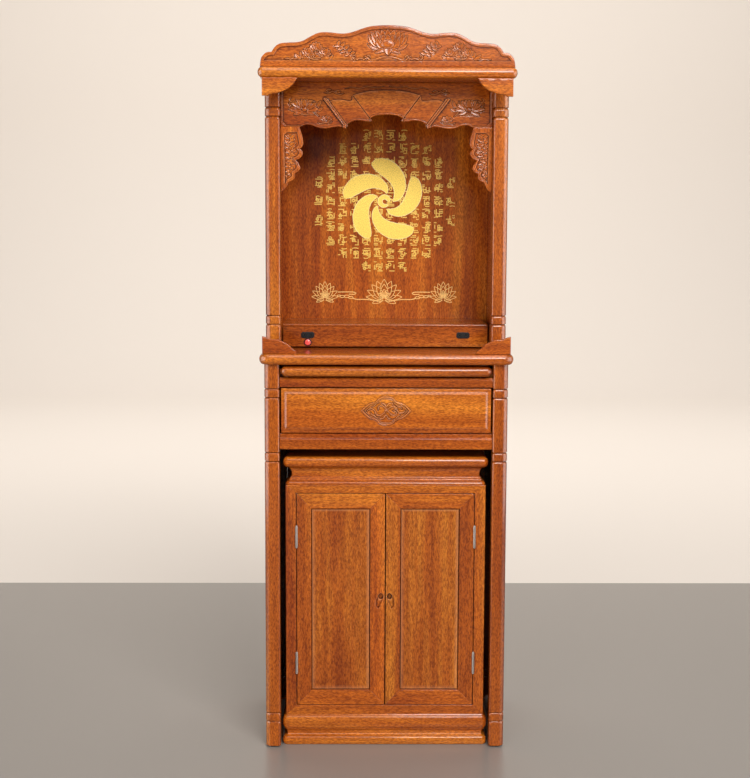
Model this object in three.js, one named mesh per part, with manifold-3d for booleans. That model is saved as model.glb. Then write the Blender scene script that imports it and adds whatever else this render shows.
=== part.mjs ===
// A household altar cabinet in lacquered hardwood.
//
// A tall stand with four turned-edge posts carries an open shrine under a carved crown. Below the altar
// table there are a pull-out board and a drawer, and a smaller two-door cabinet stands on its own base
// in the bay between the lower posts.
//
// Millimetres, +Z up, the front faces -Y. The origin is on the floor, in the middle of the footprint.

import * as THREE from 'three';
import { ConvexGeometry } from 'three/addons/geometries/ConvexGeometry.js';
import { mergeVertices } from 'three/addons/utils/BufferGeometryUtils.js';
import Module from 'manifold-3d';

const wasm = await Module();
wasm.setup();

// ---------------------------------------------------------------- driving dimensions

const WIDTH = 680;            // altar table and roof slab, side to side
const DEPTH = 480;            // altar table, front to back
const HEIGHT = 1948;          // floor to the top of the crown
const GAP = 0.3;              // left between pieces that touch

const TABLE_TOP = 1089.4;
const SLAB_THICKNESS = 29;    // altar table and roof slab
const ROOF_BOTTOM = 1812.8;
const ROOF_SETBACK = 10;      // roof edge behind the table edge
const BOARD = 18;             // ordinary board thickness

const POST = 41;              // side of a square post
const POST_SPREAD = 655;      // across the outer faces of the posts
const LOWER_POST_SETBACK = 22;
const UPPER_POST_SETBACK = 102;
const UPPER_POST_DEPTH = 58;
const REAR_POST_SETBACK = 418;
const PAD_HEIGHT = 4;
const PANEL_CLEARANCE = 8;      // side and back boards of the stand above the floor

const CABINET_SETBACK = 42;   // front of the inner cabinet's base moulding
const CABINET_BACK = 412;
const CABINET_HEIGHT = 805.4;
const CABINET_WIDTH = 544;    // across the inner cabinet's body
const DOOR_BOTTOM = 112;
const DOOR_TOP = 704.5;
const DOOR_WIDTH = 240.5;
const DOOR_MEMBER = 39.5;     // width of a door stile or rail

const DRAWER_BOTTOM = 873.5;
const DRAWER_TOP = 995.5;

const POST_INNER = POST_SPREAD / 2 - POST;      // inner face of a post, from the middle
const TABLE_BOTTOM = TABLE_TOP - SLAB_THICKNESS;
const ROOF_TOP = ROOF_BOTTOM + SLAB_THICKNESS - 1;

/** The y of a plane that lies this far behind the front edge of the altar table. */
const behind = (setback) => setback - DEPTH / 2;

// ---------------------------------------------------------------- making solids

/** A closed solid from a three.js geometry. */
function solid(geometry) {
  const bare = geometry.clone();
  bare.deleteAttribute('normal');
  bare.deleteAttribute('uv');
  const merged = mergeVertices(bare, 1e-4);
  return new wasm.Manifold(new wasm.Mesh({
    numProp: 3,
    vertProperties: Float32Array.from(merged.attributes.position.array),
    triVerts: Uint32Array.from(merged.index.array),
  }));
}

/** A three.js geometry from a solid. */
function geometryOf(body) {
  const mesh = body.getMesh();
  const geometry = new THREE.BufferGeometry();
  geometry.setAttribute('position', new THREE.BufferAttribute(Float32Array.from(mesh.vertProperties), 3));
  geometry.setIndex(Array.from(mesh.triVerts));
  geometry.computeVertexNormals();
  return geometry;
}

const joined = (body, others) => others.reduce((sum, other) => sum.add(other), body);

/** The same geometry seen in a mirror across the middle plane. */
function mirrored(geometry) {
  const flipped = (geometry.index ? geometry.toNonIndexed() : geometry.clone()).scale(-1, 1, 1);
  const position = flipped.attributes.position;
  for (let i = 0; i < position.count; i += 3) {
    for (const axis of [0, 1, 2]) {
      const kept = position.getComponent(i + 1, axis);
      position.setComponent(i + 1, axis, position.getComponent(i + 2, axis));
      position.setComponent(i + 2, axis, kept);
    }
  }
  flipped.computeVertexNormals();
  return flipped;
}

/** A closed solid over a stack of rings with the same number of corners, lowest ring first. */
function loft(rings) {
  const corners = rings[0].length;
  const index = [];
  for (let k = 0; k + 1 < rings.length; k += 1) {
    for (let i = 0; i < corners; i += 1) {
      const a = k * corners + i;
      const b = k * corners + ((i + 1) % corners);
      index.push(a, b, b + corners, a, b + corners, a + corners);
    }
  }
  const top = (rings.length - 1) * corners;
  for (let i = 1; i + 1 < corners; i += 1) {
    index.push(0, i + 1, i, top, top + i, top + i + 1);
  }
  const geometry = new THREE.BufferGeometry();
  geometry.setAttribute('position', new THREE.Float32BufferAttribute(rings.flat(2), 3));
  geometry.setIndex(index);
  geometry.computeVertexNormals();
  return geometry;
}

/** A plain board between two corners: x from the middle, setback from the table edge, z from the floor. */
function board([x0, x1], [setback0, setback1], [z0, z1]) {
  return new THREE.BoxGeometry(x1 - x0, setback1 - setback0, z1 - z0)
    .translate((x0 + x1) / 2, behind((setback0 + setback1) / 2), (z0 + z1) / 2);
}

const shapeOf = (points) => new THREE.Shape(points.map(([x, y]) => new THREE.Vector2(x, y)));

/** A board cut to an outline drawn flat, its back at height 0 and its face at its thickness. */
function upright(points, thickness) {
  return new THREE.ExtrudeGeometry(shapeOf(points), { depth: thickness, bevelEnabled: false });
}

/** Turns what was drawn flat (x, z, height towards the viewer) to stand up facing front. */
const standUp = (geometry, backSetback) => geometry.rotateX(Math.PI / 2).translate(0, behind(backSetback),
  0);

/** A section in setback and z, run along x between two ends. */
function runAcross(section, x0, x1) {
  const geometry = new THREE.ExtrudeGeometry(shapeOf(section), { depth: x1 - x0, bevelEnabled: false });
  const basis = new THREE.Matrix4().makeBasis(
    new THREE.Vector3(0, 1, 0), new THREE.Vector3(0, 0, 1), new THREE.Vector3(1, 0, 0));
  return geometry.applyMatrix4(basis).translate(x0, behind(0), 0);
}

/** A slab with a moulded edge on its front and sides; layers are [z, inset] pairs from below upwards. */
function mouldedSlab({ halfWidth, front, back, corner, layers, cornerSteps = 3 }) {
  const rings = layers.map(([z, inset]) => {
    const radius = Math.max(corner - inset, 1);
    const x = halfWidth - inset - radius;
    const y = behind(front) + inset + radius;
    const ring = [[-halfWidth + inset, behind(back), z]];
    for (const side of [0, 1]) {
      for (let i = 0; i <= cornerSteps; i += 1) {
        const angle = Math.PI * (1 + (side + i / cornerSteps) / 2);
        ring.push([(side ? x : -x) + radius * Math.cos(angle), y + radius * Math.sin(angle), z]);
      }
    }
    ring.push([halfWidth - inset, behind(back), z]);
    return ring;
  });
  return loft(rings);
}

/** The layers of a half-round nosing between two heights. */
function nosing(z0, z1, steps = 6) {
  const radius = (z1 - z0) / 2;
  const layers = [];
  for (let i = 0; i <= steps; i += 1) {
    const angle = Math.PI * (i / steps - 0.5);
    layers.push([z0 + radius * (1 + Math.sin(angle)), radius * (1 - Math.cos(angle)) * 0.85]);
  }
  return layers;
}

// ---------------------------------------------------------------- outlines

/** A smooth line through the points of each run; runs meet at sharp corners. */
function smooth(runs, stepsPerPoint) {
  const line = [];
  for (const run of runs) {
    const curve = new THREE.SplineCurve(run.map(([x, y]) => new THREE.Vector2(x, y)));
    const points = curve.getPoints((run.length - 1) * stepsPerPoint).map((p) => [p.x, p.y]);
    line.push(...(line.length ? points.slice(1) : points));
  }
  return line;
}

/** Both halves of a symmetric line, given the half from the middle out to the right. */
const bothHalves = (half) => [...half.slice(1).reverse().map(([x, z]) => [-x, z]), ...half];

/** A line moved sideways to its right by a distance. */
function offsetLine(line, distance) {
  return line.map(([x, y], i) => {
    const before = line[Math.max(i - 1, 0)];
    const after = line[Math.min(i + 1, line.length - 1)];
    const length = Math.hypot(after[0] - before[0], after[1] - before[1]);
    const along = [(after[0] - before[0]) / length, (after[1] - before[1]) / length];
    return [x + along[1] * distance, y - along[0] * distance];
  });
}

// ---------------------------------------------------------------- carving
// Carving is drawn on a flat ground in x and z; its height stands off the ground.

const SINK = 1;               // how far carved pieces reach into the ground they grow from

/** A pointed leaf or petal from its foot to its tip, highest along the middle. */
function petal([footX, footZ], [tipX, tipZ], width, height, ground) {
  const axis = [tipX - footX, tipZ - footZ];
  const length = Math.hypot(...axis);
  const side = [-axis[1] / length, axis[0] / length];
  const at = (share, across, h) => new THREE.Vector3(
    footX + axis[0] * share + side[0] * across, footZ + axis[1] * share + side[1] * across, ground + h);
  const rim = [[0, 0], [0.3, 0.45], [0.65, 0.5], [1, 0], [0.65, -0.5], [0.3, -0.45]];
  const points = rim.map(([share, across]) => at(share, across * width, -SINK));
  points.push(at(0.25, 0, height * 0.8), at(0.75, 0, height));
  return solid(new ConvexGeometry(points));
}

/** A carved ridge along a line, thinner at its ends. */
function stroke(line, width, height, ground) {
  const half = (i) => width * (0.3 + 0.7 * Math.sin((Math.PI * (i + 0.5)) / line.length)) / 2;
  const left = line.map((_, i) => offsetLine(line, -half(i))[i]);
  const right = line.map((_, i) => offsetLine(line, half(i))[i]);
  const ribbon = new THREE.ExtrudeGeometry(shapeOf([...right, ...left.reverse()]), {
    depth: height + SINK, bevelEnabled: false });
  return solid(ribbon.translate(0, 0, ground - SINK));
}

/** A low dome, such as a bud, a seed pod or a pearl. */
function dome([x, z], radiusX, radiusZ, height, ground) {
  const sides = 8;
  const points = [];
  for (const [share, rise] of [[1, -SINK], [0.7, height]]) {
    for (let i = 0; i < sides; i += 1) {
      const angle = (i / sides) * Math.PI * 2;
      points.push(new THREE.Vector3(
        x + radiusX * share * Math.cos(angle), z + radiusZ * share * Math.sin(angle), ground + rise));
    }
  }
  return solid(new ConvexGeometry(points));
}

/** Petals that fan out around a point: [angle in degrees, inner radius, outer radius, width]. */
function fan([x, z], leaves, height, ground) {
  return leaves.map(([degrees, inner, outer, width]) => {
    const angle = THREE.MathUtils.degToRad(degrees);
    const [c, s] = [Math.cos(angle), Math.sin(angle)];
    return petal([x + inner * c, z + inner * s], [x + outer * c, z + outer * s], width, height, ground);
  });
}

/** A three-petal flower that opens in a direction. */
const bud = (place, degrees, size, height, ground) => fan(place, [
  [degrees + 48, 0, size * 0.95, size * 0.42], [degrees, 0, size, size * 0.5],
  [degrees - 48, 0, size * 0.95, size * 0.42]], height, ground);

/** Carved pieces and their mirror images on the other half of a board. */
const onBothSides = (pieces) => [...pieces, ...pieces.map((piece) => solid(mirrored(geometryOf(piece))))];

// ---------------------------------------------------------------- scene graph helpers

const LACQUER = { color: 0xa9571f, roughness: 0.34, metalness: 0 };
const DARK_LACQUER = { color: 0x8a4216, roughness: 0.4, metalness: 0 };
const PANEL_WOOD = { color: 0x9c4f20, roughness: 0.36, metalness: 0 };
const BLACK_PLASTIC = { color: 0x17171a, roughness: 0.5, metalness: 0 };
const RED_PLASTIC = { color: 0xd83a34, roughness: 0.25, metalness: 0 };
const STEEL = { color: 0xb9b4ac, roughness: 0.3, metalness: 1 };
const PLYWOOD = { color: 0xb98552, roughness: 0.6, metalness: 0 };

/** Adds a named piece to a group, at a place in that group. */
function add(group, name, geometry, finish, place = [0, 0, 0]) {
  const mesh = new THREE.Mesh(geometry, new THREE.MeshStandardMaterial(finish));
  mesh.name = name;
  mesh.position.set(...place);
  group.add(mesh);
  return mesh;
}

/** Adds a piece made for the right-hand side, and its mirror image on the left. */
function addPair(group, name, geometry, finish, place = [0, 0, 0]) {
  add(group, `${name}_right`, geometry, finish, place);
  add(group, `${name}_left`, mirrored(geometry), finish, [-place[0], place[1], place[2]]);
}

// ---------------------------------------------------------------- posts

const GROOVE_HALF = 5.5;
const GROOVE_DEPTH = 3;
const RING_SPACING = 20.5;    // between the two grooves of a ring
const RING_FROM_END = 84;     // from a post's end to the middle of its ring
const POST_ARRIS = 4;         // rounding of a post's plain corners

/** A post's section about its own middle, with a large round on the outer front corner. */
function postSection(depth, outerRadius, outerSteps) {
  const [w, d] = [POST / 2, depth / 2];
  const corners = [
    { x: -w, y: -d, r: POST_ARRIS, start: 180, steps: 1 },
    { x: w, y: -d, r: outerRadius, start: 270, steps: outerSteps },
    { x: w, y: d, r: POST_ARRIS, start: 0, steps: 1 },
    { x: -w, y: d, r: POST_ARRIS, start: 90, steps: 1 }];
  return corners.flatMap(({ x, y, r, start, steps }) => Array.from({ length: steps + 1 }, (_, i) => {
    const angle = THREE.MathUtils.degToRad(start + (90 * i) / steps);
    return [x - Math.sign(x) * r + r * Math.cos(angle), y - Math.sign(y) * r + r * Math.sin(angle)];
  }));
}

/** A post for the right-hand side, standing on z = 0, with a ring of two grooves at each given height. */
function post(height, depth, rings, { outerRadius, outerSteps }) {
  const section = postSection(depth, outerRadius, outerSteps);
  const at = (z, inset) => section.map(([x, y]) => [
    x * (1 - (2 * inset) / POST), y * (1 - (2 * inset) / depth), z]);
  const layers = [at(0, 0)];
  for (const ring of rings) {
    for (const centre of [ring - RING_SPACING / 2, ring + RING_SPACING / 2]) {
      layers.push(at(centre - GROOVE_HALF, 0), at(centre, GROOVE_DEPTH), at(centre + GROOVE_HALF, 0));
    }
  }
  layers.push(at(height, 0));
  return loft(layers);
}

const FRONT_POST = { outerRadius: 10, outerSteps: 2 };
const REAR_POST = { outerRadius: POST_ARRIS, outerSteps: 1 };
const POST_X = POST_SPREAD / 2 - POST / 2;

// ---------------------------------------------------------------- the stand: lower frame and table

const stand = new THREE.Group();

// Lower posts: a ring near each end, and one at the level of the bay's top.
const lowerPostHeight = TABLE_BOTTOM - GAP - (PAD_HEIGHT + GAP);
const lowerRings = [RING_FROM_END - PAD_HEIGHT, 803, lowerPostHeight - 76];
for (const [row, setback, style] of [
  ['front', LOWER_POST_SETBACK + POST / 2, FRONT_POST],
  ['rear', REAR_POST_SETBACK + POST / 2, REAR_POST]]) {
  const foot = [POST_X, behind(setback), PAD_HEIGHT + GAP];
  addPair(stand, `lower_post_${row}`, post(lowerPostHeight, POST, lowerRings, style), LACQUER, foot);
  const pad = new THREE.CylinderGeometry(15, 15, PAD_HEIGHT, 12).rotateX(Math.PI / 2);
  addPair(stand, `foot_pad_${row}`, pad, BLACK_PLASTIC, [POST_X, behind(setback), PAD_HEIGHT / 2]);
}

// Altar table: one slab with a half-round edge.
add(stand, 'table_slab', mouldedSlab({
  halfWidth: WIDTH / 2, front: 0, back: DEPTH, corner: 16, layers: nosing(TABLE_BOTTOM, TABLE_TOP),
}), LACQUER);

// Side boards of the stand, thick above the bay, with a runner each for the drawer and the pull-out board.
const SIDE_INNER = 302;
const SIDE_OUTER = 314;
const RUNNER_INNER = 270;
const DRAWER_RUNNER = DRAWER_BOTTOM - 1;
const TRAY_RUNNER = 1033;
const sideStart = LOWER_POST_SETBACK + POST + GAP;
const sideEnd = REAR_POST_SETBACK - GAP;
const thick = POST_INNER + GAP;
const RUNNER_HEIGHT = 14;
const THICK_FROM = 845;
const sideSection = [
  [SIDE_INNER, PANEL_CLEARANCE], [SIDE_OUTER, PANEL_CLEARANCE],
  [SIDE_OUTER, TABLE_BOTTOM - GAP], [thick, TABLE_BOTTOM - GAP],
  [thick, TRAY_RUNNER], [RUNNER_INNER, TRAY_RUNNER],
  [RUNNER_INNER, TRAY_RUNNER - RUNNER_HEIGHT], [thick, TRAY_RUNNER - RUNNER_HEIGHT],
  [thick, DRAWER_RUNNER], [RUNNER_INNER, DRAWER_RUNNER],
  [RUNNER_INNER, DRAWER_RUNNER - RUNNER_HEIGHT], [thick, DRAWER_RUNNER - RUNNER_HEIGHT],
  [thick, THICK_FROM], [SIDE_INNER, THICK_FROM]];
addPair(stand, 'lower_side', standUp(upright(sideSection, sideEnd - sideStart), sideEnd), DARK_LACQUER);

const BACK_FRONT_FACE = 438;
const BACK_BOARD = 10;
const backHalf = POST_INNER - GAP;
const LOWER_BACK_BOARD = 8;
add(stand, 'lower_back', board(
  [-backHalf, backHalf], [BACK_FRONT_FACE, BACK_FRONT_FACE + LOWER_BACK_BOARD],
  [PANEL_CLEARANCE, TABLE_BOTTOM - GAP]), DARK_LACQUER);

// Front rails between the posts: one under the pull-out board, one with a stepped top under the drawer.
const railHalf = POST_INNER - GAP;
const RAIL_SETBACK = 30;
add(stand, 'tray_rail', board(
  [-railHalf, railHalf], [RAIL_SETBACK, RAIL_SETBACK + 20], [998, 1023.5]), LACQUER);
const lowerRailSection = [
  [RAIL_SETBACK, 829.7], [RAIL_SETBACK + 20, 829.7], [RAIL_SETBACK + 20, 871.5], [RAIL_SETBACK + 9, 871.5],
  [RAIL_SETBACK + 9, 858.3], [RAIL_SETBACK + 2, 858.3], [RAIL_SETBACK, 856.3]];
add(stand, 'lower_rail', runAcross(lowerRailSection, -railHalf, railHalf), LACQUER);

// Corner guards on the table's front corners.
const cornerGuard = smooth([[
  [320, 46.5], [309.5, 42.5], [296, 40], [283, 38], [271, 32.5], [262, 27], [254, 19.5], [245.5, 11.5],
  [237, 0]]], 1);
const guardOutline = [[331, 0], [331, 46.5], ...cornerGuard];
addPair(stand, 'wing', standUp(upright(guardOutline, 15), 8 + 15), LACQUER, [0, 0, TABLE_TOP + GAP]);

// ---------------------------------------------------------------- pull-out board and drawer

// Pull-out board: a flat board with a half-round front edge, on the upper runners.
const TRAY_HALF = 285;
const TRAY_TOP = 1056;
const TRAY_BOTTOM = 1026.8;
const trayEdge = nosing(TRAY_BOTTOM, TRAY_TOP, 8).map(([z, inset]) => [14 + inset, z]);
const traySection = [
  ...trayEdge.slice().reverse(), [40, TRAY_BOTTOM], [40, TRAY_RUNNER + GAP], [330, TRAY_RUNNER + GAP],
  [330, TRAY_RUNNER + 14], [40, TRAY_RUNNER + 14], [40, TRAY_TOP]];
const pullOut = new THREE.Group();
add(pullOut, 'tray_board', runAcross(traySection, -TRAY_HALF, TRAY_HALF), LACQUER);

/** The outline of the drawer's carved cartouche, about its own middle, scaled. */
function cartouche(scale) {
  const quarter = smooth([
    [[0, 39.5], [13, 38.5], [24, 33.5], [32, 23]],
    [[32, 23], [46, 20.5], [58, 11], [68, 0]]], 1);
  const upper = [...quarter.slice(1).reverse().map(([x, z]) => [-x, z]), ...quarter];
  const lower = upper.slice(1, -1).reverse().map(([x, z]) => [x, -z]);
  return [...upper, ...lower].map(([x, z]) => [x * scale, z * scale]);
}

/** A flat band between the cartouche outline at two scales, standing off the ground. */
function cartoucheBand(outer, inner, height, ground) {
  const shape = shapeOf(cartouche(outer));
  shape.holes.push(new THREE.Path(cartouche(inner).reverse().map(([x, z]) => new THREE.Vector2(x, z))));
  const band = new THREE.ExtrudeGeometry(shape, { depth: height + SINK, bevelEnabled: false });
  return solid(band.translate(0, 0, ground - SINK));
}

// Drawer front: a bevelled raised field with a carved cartouche of knotted scrolls.
const DRAWER_HALF = 284.5;
const DRAWER_FRONT_THICKNESS = 20;
const FIELD_RISE = 3;
const FIELD_MARGIN = 12;
const FIELD_BEVEL = 4;
const drawerHeight = DRAWER_TOP - DRAWER_BOTTOM;
const fieldRing = (margin, h) => {
  const [x, z] = [DRAWER_HALF - margin, drawerHeight / 2 - margin];
  return [[-x, -z, h], [x, -z, h], [x, z, h], [-x, z, h]];
};
const drawerPanel = loft([
  fieldRing(0, 0), fieldRing(0, DRAWER_FRONT_THICKNESS),
  fieldRing(FIELD_MARGIN - FIELD_BEVEL, DRAWER_FRONT_THICKNESS),
  fieldRing(FIELD_MARGIN, DRAWER_FRONT_THICKNESS + FIELD_RISE)]);
const drawerGround = DRAWER_FRONT_THICKNESS + FIELD_RISE;
const knot = [
  stroke([[-31, -1], [-30, -10], [-22, -13], [-12, -12], [-3, -3], [8, 8], [16, 14], [22, 9]], 4, 2.2,
    drawerGround),
  stroke([[-20, 3], [-16, 13], [-8, 12], [0, 5], [10, -4], [20, -12], [30, -9], [40, -3]], 4, 2.2,
    drawerGround),
  stroke([[-36, 3], [-28, 4], [-24, -3]], 3.5, 2, drawerGround),
  stroke([[38, 2], [30, 7], [24, 2], [26, -4]], 3.5, 2, drawerGround),
  stroke([[-10, 17], [0, 11], [10, 18]], 3.5, 2, drawerGround),
  stroke([[-9, -17], [0, -24], [10, -18], [12, -23]], 3.5, 2, drawerGround)];
const drawerFront = joined(solid(drawerPanel), [
  cartoucheBand(1, 0.92, 2.4, drawerGround), cartoucheBand(0.85, 0.8, 1.6, drawerGround), ...knot]);

const DRAWER_BOX_HALF = 283;
const DRAWER_BOX_BACK = 400;
const DRAWER_WALL = 10;
const DRAWER_BOARD = 7;       // thickness of the drawer's bottom
// the raised field is flush with the rails
const drawerFrontBack = RAIL_SETBACK + FIELD_RISE + DRAWER_FRONT_THICKNESS;
const drawerBoxOutside = board(
  [-DRAWER_BOX_HALF, DRAWER_BOX_HALF], [drawerFrontBack + GAP, DRAWER_BOX_BACK],
  [DRAWER_BOTTOM, DRAWER_TOP - 10]);
const drawerBoxInside = board(
  [-DRAWER_BOX_HALF + DRAWER_WALL, DRAWER_BOX_HALF - DRAWER_WALL],
  [drawerFrontBack + GAP + DRAWER_WALL, DRAWER_BOX_BACK - DRAWER_WALL],
  [DRAWER_BOTTOM + DRAWER_BOARD, DRAWER_TOP]);

const drawer = new THREE.Group();
add(drawer, 'drawer_front', standUp(geometryOf(drawerFront), drawerFrontBack), LACQUER,
  [0, 0, DRAWER_BOTTOM + drawerHeight / 2]);
const drawerBox = solid(drawerBoxOutside).subtract(solid(drawerBoxInside));
add(drawer, 'drawer_box', geometryOf(drawerBox), PLYWOOD);

// ---------------------------------------------------------------- the shrine

const shrine = new THREE.Group();

const upperPostHeight = ROOF_BOTTOM - TABLE_TOP - 2 * GAP;
const upperRings = [RING_FROM_END - 2, upperPostHeight - RING_FROM_END];
const upperPost = post(upperPostHeight, UPPER_POST_DEPTH, upperRings, FRONT_POST);
addPair(shrine, 'upper_post_front', upperPost, LACQUER,
  [POST_X, behind(UPPER_POST_SETBACK + UPPER_POST_DEPTH / 2), TABLE_TOP + GAP]);

// Each rear post is rebated on its inside, so that the back board runs past it to the side board.
const rearRebate = solid(new THREE.BoxGeometry(POST, POST, upperPostHeight + 2))
  .translate([SIDE_INNER + GAP - POST_X - POST / 2,
    BACK_FRONT_FACE + BACK_BOARD + GAP - REAR_POST_SETBACK - POST, upperPostHeight / 2]);
const rearPost = solid(post(upperPostHeight, POST, upperRings, REAR_POST)).subtract(rearRebate);
addPair(shrine, 'upper_post_rear', geometryOf(rearPost), LACQUER,
  [POST_X, behind(REAR_POST_SETBACK + POST / 2), TABLE_TOP + GAP]);

const wallBottom = TABLE_TOP + GAP;
const wallTop = ROOF_BOTTOM - GAP;
addPair(shrine, 'upper_side', board(
  [SIDE_INNER, SIDE_OUTER - 2], [UPPER_POST_SETBACK + UPPER_POST_DEPTH + GAP, REAR_POST_SETBACK - GAP],
  [wallBottom, wallTop]), PANEL_WOOD);
add(shrine, 'upper_back', board(
  [-SIDE_INNER, SIDE_INNER], [BACK_FRONT_FACE, BACK_FRONT_FACE + BACK_BOARD], [wallBottom, wallTop]),
  PANEL_WOOD);

// Ledge along the back of the shrine: a top board with a small nose, and a face board under it.
const LEDGE_TOP = 1156;
const LEDGE_FACE = 194;
const LEDGE_HALF = 284;
const ledgeSection = [
  [LEDGE_FACE, TABLE_TOP + 4], [LEDGE_FACE + 15, TABLE_TOP + 4], [LEDGE_FACE + 15, LEDGE_TOP - 12],
  [BACK_FRONT_FACE - GAP, LEDGE_TOP - 12], [BACK_FRONT_FACE - GAP, LEDGE_TOP], [LEDGE_FACE - 2, LEDGE_TOP],
  [LEDGE_FACE - 2, LEDGE_TOP - 6], [LEDGE_FACE, LEDGE_TOP - 7]];
add(shrine, 'step_ledge', runAcross(ledgeSection, -LEDGE_HALF, LEDGE_HALF), LACQUER);

// Two-hole lamp sockets and a round push button on the ledge's face.
const SOCKET_X = 216;
const SOCKET_Z = 1125.6;
const SOCKET = { width: 37, height: 17, chamfer: 4, thickness: 3, holeRadius: 2.6, holeSpacing: 18 };
const [socketX, socketZ] = [SOCKET.width / 2, SOCKET.height / 2];
const socketShape = shapeOf([
  [-socketX + SOCKET.chamfer, -socketZ], [socketX - SOCKET.chamfer, -socketZ],
  [socketX, -socketZ + SOCKET.chamfer], [socketX, socketZ - SOCKET.chamfer],
  [socketX - SOCKET.chamfer, socketZ], [-socketX + SOCKET.chamfer, socketZ],
  [-socketX, socketZ - SOCKET.chamfer], [-socketX, -socketZ + SOCKET.chamfer]]);
for (const side of [-1, 1]) {
  const hole = Array.from({ length: 8 }, (_, i) => {
    const angle = (-i / 8) * Math.PI * 2;
    return new THREE.Vector2(
      (side * SOCKET.holeSpacing) / 2 + SOCKET.holeRadius * Math.cos(angle),
        SOCKET.holeRadius * Math.sin(angle));
  });
  socketShape.holes.push(new THREE.Path(hole));
}
const socketPlate = new THREE.ExtrudeGeometry(
  socketShape, { depth: SOCKET.thickness, bevelEnabled: false });
addPair(shrine, 'socket_plate', standUp(socketPlate, LEDGE_FACE - GAP), BLACK_PLASTIC,
  [SOCKET_X, 0, SOCKET_Z]);

const BUTTON_Z = 1105.4;
const BEZEL_RADIUS = 11;
const CAP_RADIUS = 8;
const BUTTON_TRAVEL = 2.2;
const bezelProfile = [
  [CAP_RADIUS + 0.8, 0], [BEZEL_RADIUS, 0], [BEZEL_RADIUS, 2.5], [BEZEL_RADIUS - 1, 3.5],
  [CAP_RADIUS + 0.8, 3.5], [CAP_RADIUS + 0.8, 0]].map(([r, h]) => new THREE.Vector2(r, -h));
const capProfile = [
  [0, BUTTON_TRAVEL + 0.3], [CAP_RADIUS, BUTTON_TRAVEL + 0.3], [CAP_RADIUS, 5.4],
  [CAP_RADIUS * 0.75, 6.8], [0, 7.2]].map(([r, h]) => new THREE.Vector2(r, -h));
const buttonPlace = [-SOCKET_X, behind(LEDGE_FACE - GAP), BUTTON_Z];
const turned = (profile) => new THREE.LatheGeometry(profile.slice().reverse(), 12);
add(shrine, 'button_bezel', turned(bezelProfile), BLACK_PLASTIC, buttonPlace);
add(shrine, 'button_cap', turned(capProfile), RED_PLASTIC, buttonPlace);

// Roof slab and the brackets under its front corners.
add(shrine, 'roof_slab', mouldedSlab({
  halfWidth: WIDTH / 2, front: ROOF_SETBACK, back: DEPTH, corner: 16, layers: nosing(ROOF_BOTTOM, ROOF_TOP),
}), LACQUER);

const bracketEdge = smooth([[
  [233, 0], [238, -4], [246.5, -17], [254, -24], [264.5, -31], [276, -35.5], [289, -40], [304, -42],
  [314, -47]]], 1);
const bracketOutline = [...bracketEdge, [328.5, -47], [328.5, 0]];
addPair(shrine, 'roof_bracket', standUp(upright(bracketOutline, 15), ROOF_SETBACK + 2 + 15), LACQUER,
  [0, 0, ROOF_BOTTOM - GAP]);

// ---------------------------------------------------------------- valance under the roof

const VALANCE_SETBACK = 138;
const VALANCE = { ground: 12, field: 15, middle: 17, fold: 18 };   // board thickness at each level
const valanceBack = VALANCE_SETBACK + VALANCE.fold;
const valanceEdge = POST_INNER - GAP;
const DROP_JOINT = 1694;

const valanceHalf = smooth([
  [[0, 1726.6], [15, 1726.3], [29, 1724.2], [38, 1720.5], [44.5, 1716]],
  [[44.5, 1716], [39.5, 1712], [41, 1709], [47, 1707.5]],
  [[47, 1707.5], [60, 1709.5], [75, 1711.5], [92, 1709], [105, 1702]],
  [[105, 1702], [106.5, 1693], [111, 1689.5], [117, 1691]],
  [[117, 1691], [130, 1695], [155, 1691.3], [172, 1689.4], [188, 1692.5], [203, 1698], [218, 1699.4],
  [233, DROP_JOINT]],
], 1);
const valanceOutline = [...bothHalves(valanceHalf), [valanceEdge, DROP_JOINT], [valanceEdge, wallTop],
  [-valanceEdge, wallTop], [-valanceEdge, DROP_JOINT]];

/** The part of the valance inside a polygon, built up to a level. */
const raised = (polygon, level) =>
  solid(upright(valanceOutline, level)).intersect(solid(upright(polygon, level)));

const farBelow = 1680;
const arch = smooth([[[92.5, 1778.5], [70, 1785], [47, 1790], [22, 1791.7], [0, 1792]]], 1);
const middlePanel = [[-45.5, farBelow], [45.5, farBelow], [45.5, 1717], ...arch,
  ...arch.slice(0, -1).reverse().map(([x, z]) => [-x, z]), [-45.5, 1717]];
const secondTop = smooth([[[153.5, 1761], [143, 1766], [121.5, 1766.5], [82, 1764]]], 1);
const secondPanel = [[40, farBelow], [112, farBelow], [107.5, 1700], ...secondTop, [40, 1710]];
const foldStrip = [[112, farBelow], [121, farBelow], [119, 1698], [172.5, 1768], [167, 1772], [159, 1769],
  [107, 1700]];
const foldGroove = [[111, 1690], [114, 1690], [165, 1764], [162.5, 1766]];
const sideFrame = [[valanceEdge, DROP_JOINT - 1], [valanceEdge, wallTop], [277, wallTop], [277, 1798],
  [276.5, 1708],
  [266, 1697.5], [230, 1697], [228, DROP_JOINT - 1]];

const mirrorPolygon = (polygon) => polygon.map(([x, z]) => [-x, z]).reverse();
const valanceBoard = joined(solid(upright(valanceOutline, VALANCE.ground)), [
  raised(middlePanel, VALANCE.middle),
  ...[secondPanel, mirrorPolygon(secondPanel)].map((polygon) => raised(polygon, VALANCE.field)),
  ...[sideFrame, mirrorPolygon(sideFrame)].map((polygon) => raised(polygon, VALANCE.field)),
  ...[foldStrip, mirrorPolygon(foldStrip)].map((polygon) => raised(polygon, VALANCE.fold)),
]).subtract(joined(
  solid(upright(foldGroove, 4).translate(0, 0, VALANCE.fold - 1.5)),
  [solid(upright(mirrorPolygon(foldGroove), 4).translate(0, 0, VALANCE.fold - 1.5))]));

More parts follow.
